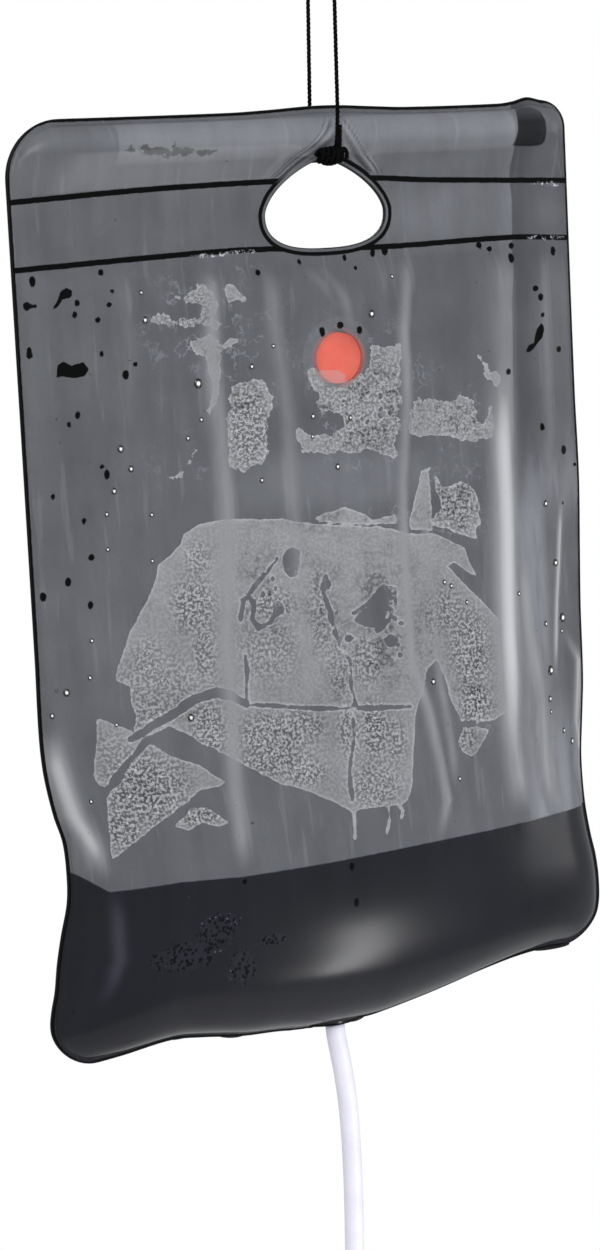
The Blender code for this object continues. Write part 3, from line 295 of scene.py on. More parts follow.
def opening_half(s):
    """Half the opening's width at depth s, 0 above and below it."""
    rise = np.clip((OPENING_DEPTH - s) / OPENING_RISE, 0.0, 1.0)
    drop = np.clip((s - OPENING_DEPTH) / OPENING_DROP, 0.0, 1.0)
    above = (1 - rise**RISE_ROUND) ** (1 / RISE_POWER)
    below = (1 - drop**DROP_POWER) ** (1 / DROP_POWER)
    return OPENING_HALF * np.where(s < OPENING_DEPTH, above, below)


def valve_half(s):
    return np.sqrt(np.maximum(0.0, VALVE_HOLE**2 - (s - VALVE_DEPTH) ** 2))


def opening_line(steps):
    """The opening's rim as arrays of x and s, with its points evenly spread."""
    angle = np.linspace(0, math.tau, 4 * steps, endpoint=False)
    across, down = np.cos(angle), np.sin(angle) >= 0
    low = OPENING_DROP * (1 - np.abs(across) ** DROP_POWER) ** (1 / DROP_POWER)
    high = -OPENING_RISE * (1 - np.abs(across) ** RISE_POWER) ** (1 / RISE_ROUND)
    x, s = OPENING_X + OPENING_HALF * across, OPENING_DEPTH + np.where(down, low, high)
    x, s = np.append(x, x[0]), np.append(s, s[0])
    run = np.concatenate([[0], np.cumsum(np.hypot(np.diff(x), np.diff(s)))])
    at = np.linspace(0, run[-1], steps, endpoint=False)
    return np.interp(at, run, x), np.interp(at, run, s)


def sleeve_bottom(x):
    share = np.clip(np.abs(x - OPENING_X) / OPENING_HALF, 0.0, 1.0)
    rim = OPENING_DEPTH - OPENING_RISE * (1 - share**RISE_POWER) ** (1 / RISE_ROUND)
    seam = upper_seam(x) - SEAM_WIDTH / 2
    return np.where(share >= 1, seam, np.minimum(seam, np.maximum(rim - RING_WIDTH, SLEEVE_FLOOR)))


def sleeve_half(x, s):
    """Half the gap between the films round the rod: a circle with its tangents to the welds."""
    half = np.full(np.shape(s), HALF_GAP)
    radius = SLEEVE_RADIUS
    up = ROD_DEPTH - s
    round_part = np.sqrt(np.maximum(0.0, radius**2 - up**2))
    for sign, foot in ((1, ROD_DEPTH - RIM_WIDTH), (-1, sleeve_bottom(x) - ROD_DEPTH)):
        reach = np.hypot(foot, HALF_GAP)
        lean = np.arccos(np.clip(radius / reach, 0, 1)) + np.arctan2(HALF_GAP, foot)
        touch_up, touch_out = radius * np.cos(lean), radius * np.sin(lean)
        share = np.clip((up * sign - touch_up) / np.maximum(foot - touch_up, 1e-6), 0, 1)
        line = touch_out + (HALF_GAP - touch_out) * share
        here = up * sign >= 0
        half = np.where(here, np.where(up * sign > touch_up, line, round_part), half)
    side = np.sign(x)
    held = np.where(x > 0, ROD_RIGHT, ROD_PLAY - ROD_LEFT) + FILM_CLEAR
    beyond = np.clip((np.abs(x) - held) / np.maximum(inner_edge(side, s) - held, 1e-6), 0, 1)
    inside = (s > RIM_WIDTH) & (s < sleeve_bottom(x))
    return np.where(inside, HALF_GAP + (half - HALF_GAP) * np.sqrt(1 - beyond**2), HALF_GAP)


def belly(s):
    start = DRY_BULGE * np.sin(np.clip((s - BODY_TOP) / DRY_BULGE_RUN, 0, 1) * math.pi / 2)
    full = start + (BELLY - DRY_BULGE) * smooth((s - BELLY_START) / (BELLY_DEPTH - BELLY_START))
    below = np.clip((s - BELLY_DEPTH) / (BAG_HEIGHT - RIM_WIDTH - BELLY_DEPTH), 0, 1)
    return full * np.sqrt(1 - below**2)


def body_half(x, s):
    across = np.clip(np.abs(x) / inner_edge(x, s), 0, 1)
    half = HALF_GAP + belly(s) * (1 - across**BULGE_POWER) ** BULGE_ROUND
    boat = BOAT_THICKNESS / 2 * (1 - ((x - OUTLET_X) / BOAT_HALF) ** 2) + FILM_CLEAR
    near = (np.abs(x - OUTLET_X) < BOAT_HALF) & (s > BOAT_TOP)
    return np.where(near, np.maximum(half, boat), half)


def half_gap(x, s):
    below = np.where(s > BODY_TOP, body_half(x, s), HALF_GAP)
    return np.where(s < sleeve_bottom(x), sleeve_half(x, s), below)


# Marks on the films, each a row of x and s in turn, in millimetres: mist on the inside of the clear
# film, dry holes and cracks in it, runs of water, folds, the packing crease, and places where the
# films touch
MIST = (
    (
        -87, 256, -74, 255, -52, 256, -30, 258, -2, 264, 21, 267, 50, 272, 62, 277, 79, 278, 94, 284, 104,
        290, 107, 300, 112, 310, 103, 306, 95, 299, 90, 301, 105, 318, 120, 333, 131, 347, 130, 368, 125,
        402, 114, 407, 89, 404, 83, 390, 80, 375, 74, 361, 67, 366, 62, 380, 54, 395, 50, 419, 46, 443, 42,
        451, 35, 452, 6, 450, 1, 452, -13, 444, -31, 434, -44, 428, -50, 427, -64, 418, -70, 414, -82, 406,
        -92, 399, -109, 387, -121, 380, -134, 385, -139, 386, -144, 381, -142, 371, -144, 365, -144, 353,
        -153, 349, -152, 341, -145, 329, -142, 322, -135, 311, -125, 296, -119, 285, -118, 279, -102, 268,
        -99, 261,
    ),
    (90, 407, 111, 412, 106, 419, 100, 426, 95, 428, 88, 424, 85, 416),
    (
        -167, 371, -160, 373, -150, 379, -139, 386, -146, 394, -157, 403, -165, 413, -170, 413, -173, 406,
        -169, 384,
    ),
    (
        -135, 390, -120, 400, -104, 408, -89, 420, -94, 423, -107, 423, -117, 429, -132, 436, -147, 445,
        -162, 454, -175, 462, -174, 451, -168, 422, -158, 412, -149, 402, -141, 395,
    ),
    (-130, 444, -116, 434, -105, 434, -98, 441, -91, 447, -100, 448, -110, 444, -122, 448),
    (-63, 176, -54, 168, -38, 168, -33, 180, -36, 207, -41, 220, -54, 226, -64, 221, -64, 198),
    (
        -95, 113, -80, 110, -79, 102, -73, 106, -68, 115, -68, 128, -59, 132, -71, 133, -86, 131, -107, 128,
        -112, 126, -108, 121, -96, 125, -80, 124, -78, 119,
    ),
    (
        -86, 141, -74, 138, -65, 144, -55, 142, -65, 148, -69, 163, -71, 178, -78, 189, -75, 178, -73, 166,
        -77, 153, -83, 147,
    ),
    (
        -2, 162, 2, 166, 19, 164, 23, 172, 30, 168, 37, 164, 42, 154, 40, 153, 42, 152, 59, 154, 62, 152, 63,
        188, 55, 218, 56, 224, 22, 219, 4, 218, -12, 218, -13, 202, -4, 209, 9, 208, 20, 202, 17, 195, 4,
        192, -4, 185, 1, 181, -1, 173, -5, 169,
    ),
    (
        69, 188, 92, 189, 99, 193, 108, 189, 116, 193, 120, 206, 124, 213, 130, 196, 130, 218, 117, 220, 101,
        217, 98, 214, 75, 214, 68, 211,
    ),
    (122, 162, 127, 168, 132, 175, 137, 171, 138, 180, 134, 183, 125, 176, 126, 172),
    (
        85, 242, 91, 248, 97, 248, 105, 245, 115, 251, 118, 263, 116, 269, 117, 275, 112, 279, 114, 285, 102,
        281, 90, 275, 80, 273, 82, 266, 88, 262, 84, 250,
    ),
    (63, 269, 68, 255, 75, 237, 79, 236, 81, 256, 80, 276, 64, 274),
    (-64, 108, -55, 106, -45, 117, -51, 120, -62, 111),
    (-6, 260, 2, 257, 16, 255, 31, 261, 36, 265, 53, 263, 54, 269, 26, 267, -2, 263),
    (-111, 224, -104, 224, -96, 220, -91, 212, -87, 208, -89, 215, -95, 224, -102, 227),
)
MIST_HOLES = (
    (-31, 282, -28, 278, -24, 277, -19, 279, -20, 290, -22, 296, -27, 297, -31, 292),
    (16, 329, 24, 334, 34, 334, 38, 330, 46, 322, 46, 312, 40, 310, 32, 318, 19, 325),
    (7, 339, 11, 336, 15, 340, 11, 343, 8, 342),
    (37, 344, 42, 340, 47, 344, 45, 349, 39, 348),
    (-4, 300, 0, 299, 2, 303, 1, 307, -4, 306),
    (-42, 308, -34, 310, -34, 318, -40, 320, -41, 314),
)
CRACKS = (
    (-67, 373, -51, 376, -30, 380, -1, 384, 28, 387, 51, 389),
    (-66, 372, -66, 364, -64, 353, -64, 342),
    (-35, 283, -43, 291, -50, 297, -62, 308, -65, 319),
    (-1, 297, -5, 306, -1, 320, 1, 333, 4, 345, 10, 354, 9, 373, 11, 384),
    (-63, 307, -57, 306, -54, 312, -57, 319, -53, 326, -44, 323, -40, 317),
    (8, 383, 7, 405, 1, 424, 1, 444),
    (89, 404, 100, 406, 114, 407),
    (16, 324, 31, 317, 40, 309, 49, 311, 48, 323, 41, 332, 33, 337),
)
WIDE_CRACK = (
    -147, 386, -139, 383, -134, 380, -120, 375, -103, 366, -87, 363, -76, 367, -67, 373,
)
RUNS = (
    (1, 452, 1, 458, 0, 468),
    (27, 451, 27, 460, 24, 468),
    (35, 451, 38, 456, 36, 460),
)
TOUCHES = (
    (-177, 114, -173, 109, -171, 104, -167, 102, -163, 104, -164, 108, -170, 109, -173, 113, -177, 115),
    (-177, 157, -176, 149, -172, 147, -167, 150, -159, 148, -156, 153, -159, 157, -166, 158, -174, 156),
    (160, 164, 162, 160, 167, 158, 169, 150, 174, 145, 176, 149, 174, 155, 169, 160, 164, 164),
    (169, 212, 172, 213, 173, 217, 169, 218),
    (4, 138, 8, 137, 9, 142, 6, 144),
)
TOUCH_DOTS = (
    -188, 112, -193, 112, -137, 106, -140, 114, -148, 123, -161, 112, -163, 119, -188, 97, -193, 139, -193,
    142, -147, 144, -125, 152, -132, 158, -165, 181, -171, 186, -151, 214, -148, 219, -184, 230, -165, 247,
    -162, 270, -178, 284, -194, 292, -165, 300, 170, 122, 174, 128, 175, 140, 188, 164, 145, 176, -142, 94,
    -35, 100, -4, 95, 34, 141, 20, 137, 130, 91, 153, 101, 187, 98, 188, 232, 185, 268, 197, 243,
)
DROPS = (
    -132, 217, -144, 230, -150, 244, -151, 266, -122, 276, -166, 322, -169, 345, -106, 377, -155, 376, -184,
    353, -193, 367, -178, 423, -120, 247, -138, 204, -117, 125, -83, 167, -82, 190, -92, 201, -45, 159, -29,
    147, -42, 232, -118, 108, 170, 267, 177, 308, 165, 348, 181, 346, 180, 355, 166, 380, 164, 399, 165, 408,
    178, 423, 187, 432, 86, 311, 91, 314, 102, 326, 144, 325, 70, 375, 84, 441, -4, 207, -3, 194, 24, 197,
    13, 228, 60, 108, 43, 131,
)
LARGE_DROPS = (177, 308, 181, 346, 187, 432, -106, 377, -83, 167, 43, 131, 166, 380)
FOLD_LINES = (
    (-70, 92, -70, 115, -72, 166, -70, 204, -68, 242, -70, 280, -77, 331, -78, 382, -83, 433, -86, 476),
    (73, 91, 67, 143, 67, 189, 60, 241, 58, 293, 56, 359, 64, 393, 70, 427, 73, 454, 64, 478),
    (76, 236, 74, 282, 77, 322, 75, 375, 79, 415, 81, 448),
    (-29, 94, -27, 133, -24, 160, -22, 194, -22, 234, -20, 269, -19, 329, -23, 376),
    (144, 95, 142, 161, 139, 221, 138, 284, 134, 346, 130, 409, 134, 469),
    (148, 303, 151, 353, 156, 392, 157, 424, 160, 476),
    (184, 263, 180, 310, 172, 381),
    (185, 358, 196, 377, 194, 420, 200, 442, 200, 477),
    (-194, 379, -193, 399, -190, 432, -181, 472),
    (-176, 482, -170, 506, -167, 523, -171, 537, -176, 548),
    (177, 97, 176, 150, 176, 211, 170, 265),
    (-129, 88, -132, 130, -137, 186),
    (10, 96, 24, 121, 28, 141),
    (-4, 95, 9, 110, 19, 127),
)
CREASE_LINE = (
    158, 5, 156, 14, 155, 27, 154, 40, 156, 63, 155, 89, 150, 128, 149, 155, 146, 222, 144, 262, 145, 329,
    141, 396, 141, 464,
)
KNOT_FOLDS = (
    (12, 25, 4, 31, -7, 38, -18, 46),
    (8, 19, -4, 24, -13, 31, -23, 42),
    (11, 13, 4, 7, 2, 2),
    (31, 29, 41, 33, 52, 41),
    (28, 22, 41, 29, 56, 40),
    (32, 12, 48, 7, 68, 3),
)
# Each fold's width to its left and right in millimetres, its height in millimetres, and how white
# it is stretched and lit by a painted highlight, in the order of FOLD_LINES
FOLD_FORMS = (
    (7.0, 6.0, 1.8, 0.85), (4.5, 3.5, 1.6, 0.90), (3.0, 3.0, 0.9, 0.60), (6.0, 6.0, 1.0, 0.45),
    (10.0, 8.0, 2.0, 1.95), (5.0, 5.0, 1.4, 1.05), (2.2, 1.8, 0.9, 1.60), (3.5, 5.0, 1.0, 1.50),
    (7.0, 6.0, 1.8, 1.60), (5.0, 5.0, 1.2, 0.50), (5.0, 6.0, 0.8, 0.30), (8.0, 8.0, 0.6, 0.15),
    (4.0, 4.0, 0.9, 0.45), (4.0, 4.0, 0.8, 0.35),
)
# Places where the mist has run into grains: x, s, two half sizes in millimetres, and a strength
GRAINS = (
    (-91, 278, 8, 12, 0.7), (-96, 307, 14, 16, 0.9), (-92, 336, 8, 20, 0.7), (-131, 339, 10, 14, 0.6),
    (-125, 357, 30, 20, 0.5), (-133, 372, 12, 10, 0.7), (-94, 386, 12, 18, 0.95),
    (-143, 419, 26, 24, 1.0), (-165, 443, 14, 14, 1.0), (-110, 437, 20, 8, 1.0), (-43, 312, 16, 8, 0.8),
    (-47, 341, 18, 18, 0.5), (-50, 395, 26, 14, 0.9), (-52, 411, 26, 10, 0.8), (-31, 392, 16, 12, 0.8),
    (4, 399, 8, 16, 0.8), (23, 401, 10, 18, 1.0), (-32, 421, 14, 8, 0.9), (19, 436, 18, 16, 0.7),
    (37, 409, 8, 14, 0.7), (-8, 322, 10, 26, 0.5), (22, 355, 10, 16, 0.7), (88, 330, 10, 14, 0.7),
    (101, 358, 14, 26, 0.9), (101, 394, 12, 14, 1.0), (91, 416, 8, 8, 0.7), (76, 333, 6, 14, 0.6),
    (2, 359, 8, 20, 0.5), (35, 190, 40, 34, 0.6), (-49, 196, 16, 28, 1.0), (100, 262, 18, 20, 0.7),
    (-85, 120, 26, 14, 0.6), (-160, 392, 10, 12, 0.4), (110, 205, 24, 14, 0.5),
)
# Places where the mist is full of round dry spots, and where the dry film is lighter, partly hazier and
# partly a painted highlight along the sleeve over the rod, as above
SPOTTED = (
    (-45, 300, 20, 16, 1.0), (0, 318, 12, 34, 0.9), (38, 330, 20, 24, 1.0), (42, 352, 12, 20, 1.0),
    (35, 195, 40, 26, 0.9), (-92, 305, 10, 24, 0.8), (100, 205, 26, 12, 0.7), (100, 262, 18, 16, 0.7),
    (92, 395, 12, 20, 0.7), (-80, 122, 26, 16, 0.7), (-30, 410, 16, 8, 0.6),
)
HAZE_AND_SHEEN = (
    (10, 236, 70, 18, 0.9), (120, 68, 70, 20, 0.8), (0, 12, 220, 9, 1.0), (-60, 30, 150, 14, 0.6),
    (60, 34, 90, 14, 0.4),
)
# Where fine drying marks lie on the dry film and in the mist, as above
MARKED = (
    (-80, 128, 34, 34, 1.0), (35, 188, 46, 44, 1.0), (104, 205, 30, 20, 1.0), (100, 260, 24, 26, 1.0),
    (-44, 150, 26, 40, 0.7), (40, 330, 26, 40, 1.0), (-34, 302, 30, 30, 0.8), (2, 330, 14, 40, 0.8),
    (-90, 215, 30, 16, 0.5), (96, 395, 20, 30, 0.6), (20, 262, 60, 8, 0.8), (-70, 100, 40, 8, 0.8),
)
# The water's level on the clear film
WATER_LINE = (
    -202, 468, -195, 471, -178, 482, -131, 480, -85, 481.8, -20, 481.5, 72, 479, 168, 477.3, 202, 478,
)
# In metres: the middle of the knot's pleats, and the water's bulge as middle, half sizes and depth
KNOT_AT = (0.0230, 0.029)
WATER_BULGE = (-0.006, 0.529, 0.085, 0.050, 0.004)
# In metres: half widths of the cracks in the mist, and how soon a fold fades at its ends
CRACK_HALF = 0.0013
WIDE_CRACK_HALF = 0.0028
FOLD_FADE = 0.03
# The long fold on the right with a bright painted highlight, by its place in FOLD_LINES; its highlight is
# fainter at both ends
LONG_FOLD = 4
# In millimetres again: the clearer patch over the rod's right end, a dark smear on the sleeve, damp
# stains under the water's level, black dots by the lower seam and by that level, and painted glints
# on the seams
PLUG_PATCH = (
    157.9, 5.2, 156.6, 10.9, 156.2, 17.3, 155.4, 23.0, 153.8, 27.6, 167.5, 28.4, 175.2, 28.0, 178.6, 25.8,
    178.8, 19.3, 178.4, 11.9, 176.4, 7.1, 170.1, 5.0, 163.5, 4.0,
)
SMEAR = (
    -129.4, 19.2, -112.6, 18.0, -95.7, 19.2, -77.7, 21.1, -63.6, 22.8, -74.3, 24.9, -101.8, 24.5, -119.2,
    21.4,
)
DAMP_PATCHES = (
    (-125, 527, 22, 8, 1.0), (-103, 512, 13, 9, 1.0), (-87, 536, 9, 10, 1.0), (-66, 522, 10, 3, 1.0),
)
SEAM_DRIPS = (29, 94, 35, 101, 50, 92, 59, 91, 131, 92, 138, 94, 155, 93, -4, 508, -5, 486, -86, 485)
SEAM_GLINTS = (-70, 87.7, -56, 87.2, -43, 86.6, 183, 52.7, 192, 53.7, 178, 88.3, 187, 89.4)
# Tabs of squeezed-out weld at the bottom, in millimetres: x, half width and drop
WELD_TABS = (
    (-118, 9, 1.6), (-80, 12, 2.2), (-38, 10, 1.4), (11, 9, 3.0), (-22, 5, 1.6), (52, 7, 1.0),
    (168, 17, 3.0),
)


def pairs(flat):
    return list(zip(flat[::2], flat[1::2]))


def line_arrays(line):
    return (np.array(line, float).reshape(-1, 2) * MM).T


def along_line(line, s):
    """A line's x at depth s."""
    x, depth = line_arrays(line)
    order = np.argsort(depth)
    return np.interp(s, depth[order], x[order])


def line_distance(line, x, s, closed=False):
    """Distance to a run of straight lines."""
    px, ps = line_arrays(line)
    if closed:
        px, ps = np.append(px, px[0]), np.append(ps, ps[0])
    least = np.full(x.shape, 1.0)
    for ax, a, bx, b in zip(px, ps, px[1:], ps[1:]):
        run = max((bx - ax) ** 2 + (b - a) ** 2, 1e-12)
        share = np.clip(((x - ax) * (bx - ax) + (s - a) * (b - a)) / run, 0, 1)
        least = np.minimum(least, np.hypot(x - ax - share * (bx - ax), s - a - share * (b - a)))
    return least


def patch_distance(patch, x, s):
    """Signed distance to a patch's outline, positive inside."""
    px, ps = line_arrays(patch)
    inside = np.zeros(x.shape, bool)
    for ax, a, bx, b in zip(px, ps, np.roll(px, -1), np.roll(ps, -1)):
        crosses = (a > s) != (b > s)
        at = ax + (s - a) * (bx - ax) / (b - a if b != a else 1e-9)
        inside ^= crosses & (x < at)
    away = line_distance(patch, x, s, closed=True)
    return np.where(inside, away, -away)


def nearest(outlines, x, s):
    """Signed distance to the nearest of some patches, positive inside."""
    return np.max([patch_distance(outline, x, s) for outline in outlines], axis=0)


def waves(x, s, seed, across, along, count=7):
    """Smooth ripples that run down the bag, from -1 to 1, the same each time."""
    rng = np.random.default_rng(seed)
    total = np.zeros(x.shape)
    for _ in range(count):
        length = across * rng.uniform(0.7, 1.8)
        lean = rng.uniform(-1, 1) / along
        phase, wobble = rng.uniform(0, math.tau, 2)
        bend = 0.8 * np.sin(math.tau * s / (along * rng.uniform(0.6, 1.4)) + wobble)
        total += np.sin(math.tau * (x / length + lean * s) + phase + bend)
    return total / count


def fold_reach(line, form, x, s, lead):
    """Distance from a fold in widths of its own, and how much of it is left towards its ends."""
    depth = line_arrays(line)[1]
    away = x - along_line(line, s)
    left = smooth((s - depth.min()) / FOLD_FADE + lead) * smooth((depth.max() - s) / FOLD_FADE + lead)
    return away / (np.where(away < 0, form[0], form[1]) * MM), left


def bump_line(line, form, x, s):
    """One fold's height at each place, with hollows beside it."""
    away, left = fold_reach(line, form, x, s, 0.3)
    return form[2] * MM * left * (np.exp(-(away**2)) - 0.4 * np.exp(-((away / 2.3) ** 2)))


def fold_whitened_and_lit(x, s):
    """How strongly a place is stretched white and given a painted highlight along a fold; above 1 it is
    whiter still.
    """
    total = np.zeros(x.shape)
    for k, (line, form) in enumerate(zip(FOLD_LINES, FOLD_FORMS)):
        away, left = fold_reach(line, form, x, s, 0.2)
        if k == LONG_FOLD:
            left = left * (0.22 + 0.78 * smooth((s - 0.16) / 0.07)) * (1 - 0.45 * smooth((s - 0.36) / 0.08))
        total = np.maximum(total, left * form[3] * np.exp(-((away / 0.9) ** 2)))
    return total


def patches(rows, x, s):
    """The strongest of some soft round patches at each place."""
    total = np.zeros(x.shape)
    for cx, cs, wide, high, strength in rows:
        reach = ((x - cx * MM) / (wide * MM)) ** 2 + ((s - cs * MM) / (high * MM)) ** 2
        total = np.maximum(total, strength * np.exp(-(reach**2) * 0.7))
    return total


def pleats(x, s):
    """Pleats that fall beside the rope and sweep out along the opening's arch, from -1 to 1."""
    out = np.abs(x - KNOT_AT[0])
    line = opening_away(x, s) / (0.006 + 0.020 * np.exp(-out / 0.012))
    count = np.where(x < KNOT_AT[0], 2.5, 2.1)
    fan = smooth((out - 0.0015) / 0.005) * smooth((0.060 - out) / 0.022)
    fan = fan * smooth((line - 0.12) / 0.2) * smooth((1.75 - line) / 0.5)
    low = smooth((upper_seam(x) - 0.0015 - s) / 0.004) * smooth((s - 0.004) / 0.006)
    wave = np.sin(math.tau * count * line + 1.1 * np.sin(4.3 * line) + 40.0 * out + 0.6)
    return np.sign(wave) * np.abs(wave) ** 1.4 * fan * low


def areas(x, s):
    """Shares of the water space, of the band between the seams, and of the distance from the sides."""
    sides = smooth((inner_edge(x, s) - np.abs(x)) / SIDE_RUN)
    body = smooth((s - LOWER_SEAM - 0.004) / BODY_RUN) * sides
    band = smooth((s - UPPER_SEAM - 0.003) / BAND_RUN) * smooth((LOWER_SEAM - 0.004 - s) / BAND_RUN) * sides
    return body, band, sides


def front_push(x, s):
    """How far the clear film's folds stand out from its plain bulge."""
    body, band, sides = areas(x, s)
    dry, wet = np.zeros(x.shape), np.zeros(x.shape)
    for line, form in zip(FOLD_LINES, FOLD_FORMS):
        part = wet if line_arrays(line)[1].min() > WATER_DEPTH else dry
        part += bump_line(line, form, x, s)
    cx, cs, wide, high, out = WATER_BULGE
    wet += out * np.exp(-((x - cx) ** 2 / wide**2 + (s - cs) ** 2 / high**2))
    calm = 1 - 0.97 * smooth((s - WATER_DEPTH + 0.012) / WATER_RUN)
    dry += (0.45 * waves(x, s, 11, 0.034, 0.9) + 0.16 * waves(x, s, 12, 0.013, 0.4)) * calm * MM
    push = (dry * (1 - 0.75 * smooth((s - WATER_DEPTH) / WATER_RUN)) + wet) * body

    over = x - along_line(CREASE_LINE, s)
    rim = inner_edge(x, s) - along_line(CREASE_LINE, s)
    facet = belly(s) * np.clip(1 - over / np.maximum(rim, 1e-4), 0, 1) + HALF_GAP
    fall = np.clip(body_half(x, s) - facet, 0.0, 0.006)
    push -= np.where((over > 0) & (s > BODY_TOP), fall, 0.0) * 0.85 * (1 - smooth((s - 0.40) / 0.07))

    sleeve = smooth((s - 0.020) / 0.006) * smooth((UPPER_SEAM - s - 0.001) / 0.01) * sides
    push += 0.25 * MM * waves(x, s, 13, 0.050, 0.3) * sleeve
    push += 0.20 * MM * (1 + waves(x, s, 14, 0.045, 0.3)) * band
    for line in KNOT_FOLDS:
        low = smooth((UPPER_SEAM - s) / 0.012) * smooth(s / 0.006)
        push += 0.7 * MM * np.exp(-((line_distance(line, x, s) / 0.0028) ** 2)) * low
    near_knot = smooth((0.050 - np.hypot(x - KNOT_AT[0], s - KNOT_AT[1])) / 0.02)
    return push + 0.35 * MM * (1 + pleats(x, s)) * near_knot


def back_push(x, s):
    """Folds of the black film, which stay away from the fill valve."""
    body, band, _ = areas(x, s)
    clear = smooth((np.hypot(x - VALVE_X, s - VALVE_DEPTH) - FLANGE_RADIUS - 0.002) / 0.02)
    dry = 1 - 0.6 * smooth((s - WATER_DEPTH) / WATER_RUN)
    push = 0.9 * waves(x, s, 21, 0.060, 0.8) + 0.35 * waves(x, s, 22, 0.022, 0.5)
    return (push * body * clear * dry + 0.20 * (1 + waves(x, s, 24, 0.045, 0.3)) * band) * MM


# Meshes


def join_mesh(name, points, faces):
    mesh = bpy.data.meshes.new(name)
    mesh.from_pydata([tuple(p) for p in points], [], [tuple(f) for f in faces])
    mesh.update()
    return mesh


def add(name, mesh, materials, replaces=(), smooth_faces=True):
    piece = bpy.data.objects.new(name, mesh)
    bpy.context.scene.collection.objects.link(piece)
    for material in materials:
        mesh.materials.append(material)
    if smooth_faces:
        mesh.polygons.foreach_set("use_smooth", [True] * len(mesh.polygons))
    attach(piece, "bag")
    if replaces:
        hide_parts(*replaces)
    return piece


def bridge(count, sides, closed=False):
    """Faces between neighbours in a row of rings; a closed row ends where it starts."""
    faces = []
    for k in range(count if closed else count - 1):
        after = (k + 1) % count
        for j in range(sides):
            i = (j + 1) % sides
            faces.append((k * sides + j, k * sides + i, after * sides + i, after * sides + j))
    return faces


def ends(count, sides):
    """The faces that close the first and the last of a row of rings."""
    last = (count - 1) * sides
    return [tuple(range(sides))[::-1], tuple(range(last, last + sides))]


def gather(parts):
    """Joins parts, each with its points and faces, into one."""
    points, faces = [], []
    for more, around in parts:
        faces += [tuple(i + len(points) for i in face) for face in around]
        points += more
    return points, faces


def film_rows(step):
    """Depths of a film's rows of points, closest round the sleeve, the opening's ends and the bottom."""
    bottom = OPENING_DEPTH + OPENING_DROP
    rows = [0.0, 0.0008, 0.0018, RIM_WIDTH]
    angles = np.radians(np.linspace(82, -80, 24))
    rows += list(ROD_DEPTH - SLEEVE_RADIUS * np.sin(angles))
    rows += list(OPENING_TOP + MM * np.array([-0.6, 0, 0.3, 0.8, 1.5, 2.4, 3.6, 5.0, 6.6, 8.4]))
    rows += list(np.arange(OPENING_TOP + 0.0101, bottom - 0.0077, 0.0018))
    rows += list(bottom - MM * np.array([6.6, 5.2, 3.9, 2.8, 1.9, 1.2, 0.7, 0.35, 0.12, 0.0, -0.6, -1.6]))
    rows += list(np.arange(bottom + 0.0030, BAG_HEIGHT - 0.016, step))
    rows += list(BAG_HEIGHT - MM * np.array([14.5, 12.5, 10.8, 9.5, 8.0, 6.5, 5.0, 3.8, 3.0, 2.0, 0.8, 0.0]))
    return np.array(sorted(set(round(float(s), 5) for s in rows)))


def film_columns(step, holes):
    """Places of a film's columns of points, closest at the sides."""
    half = BAG_WIDTH / 2
    rim = [half - MM * k for k in (0, 1, 2, 3, 4, 5.2, 6.8, 8.8)]
    inner = half - 11 * MM
    stops = [-inner, *sorted(holes), inner]
    places = [-x for x in rim] + rim
    for low, high in zip(stops, stops[1:]):
        places += list(np.linspace(low, high, max(3, round((high - low) / step)) + 1))
    return np.array(sorted(set(round(float(x), 6) for x in places)))


def film_mesh(name, side, step, holes, push):
    """A film's outer surface as one sheet, with holes round which the columns part.
    Returns the mesh and its vertices' x and s."""
    rows, columns = film_rows(step), film_columns(step, [hole[0] for hole in holes])
    cuts = [0] + [int(np.argmin(np.abs(columns - hole[0]))) for hole in holes] + [len(columns) - 1]
    points, faces, places = [], [], []
    count = 0
    for block, (first, last) in enumerate(zip(cuts, cuts[1:])):
        x, s = sheet_places(rows, columns[first:last + 1])
        for k, (centre, reach, half) in enumerate(holes):
            away = np.abs(x - centre)
            sign = np.sign(np.round(x - centre, 7))
            if k == block:
                sign[:, -1] = -1
            if k == block - 1:
                sign[:, 0] = 1
            wide = half(s)
            moved = centre + sign * (wide + away * (1 - wide / reach))
            x = np.where((away < reach) & (wide > 0), moved, x)
        grid = hang(x, s, side * (half_gap(x, s) + FILM + push(x, s)))
        index = count + np.arange(s.size).reshape(s.shape)
        cells = np.stack([index[:-1, :-1], index[:-1, 1:], index[1:, 1:], index[1:, :-1]], axis=-1)
        points.append(grid.reshape(-1, 3))
        places.append(np.stack([x, s], axis=-1).reshape(-1, 2))
        faces.append(cells[..., ::side].reshape(-1, 4))
        count += s.size
    points, faces, places = np.concatenate(points), np.concatenate(faces), np.concatenate(places)
    _, keep, index = np.unique(np.round(points, 7), axis=0, return_index=True, return_inverse=True)
    faces = index.reshape(-1)[faces].tolist()
    faces = [list(dict.fromkeys(face)) for face in faces if len(set(face)) > 2]
    return join_mesh(name, points[keep], faces), *places[keep].T


def store(mesh, name, values):
    attribute = mesh.attributes.new(name, "FLOAT", "POINT")
    attribute.data.foreach_set("value", np.asarray(values, np.float32))


def thicken(piece, inner_slot):
    """Gives a film its thickness on the inside, as a closed shell."""
    modifier = piece.modifiers.new("thickness", "SOLIDIFY")
    modifier.thickness = FILM
    modifier.offset = -1
    modifier.material_offset = inner_slot
    graph = bpy.context.evaluated_depsgraph_get()
    mesh = bpy.data.meshes.new_from_object(piece.evaluated_get(graph))
    piece.modifiers.clear()
    old, piece.data = piece.data, mesh
    name = old.name
    bpy.data.meshes.remove(old)
    mesh.name = name


def opening_away(x, s):
    """Distance outside the opening's rim."""
    return line_distance(np.stack(opening_line(90), axis=-1) / MM, x, s, closed=True)


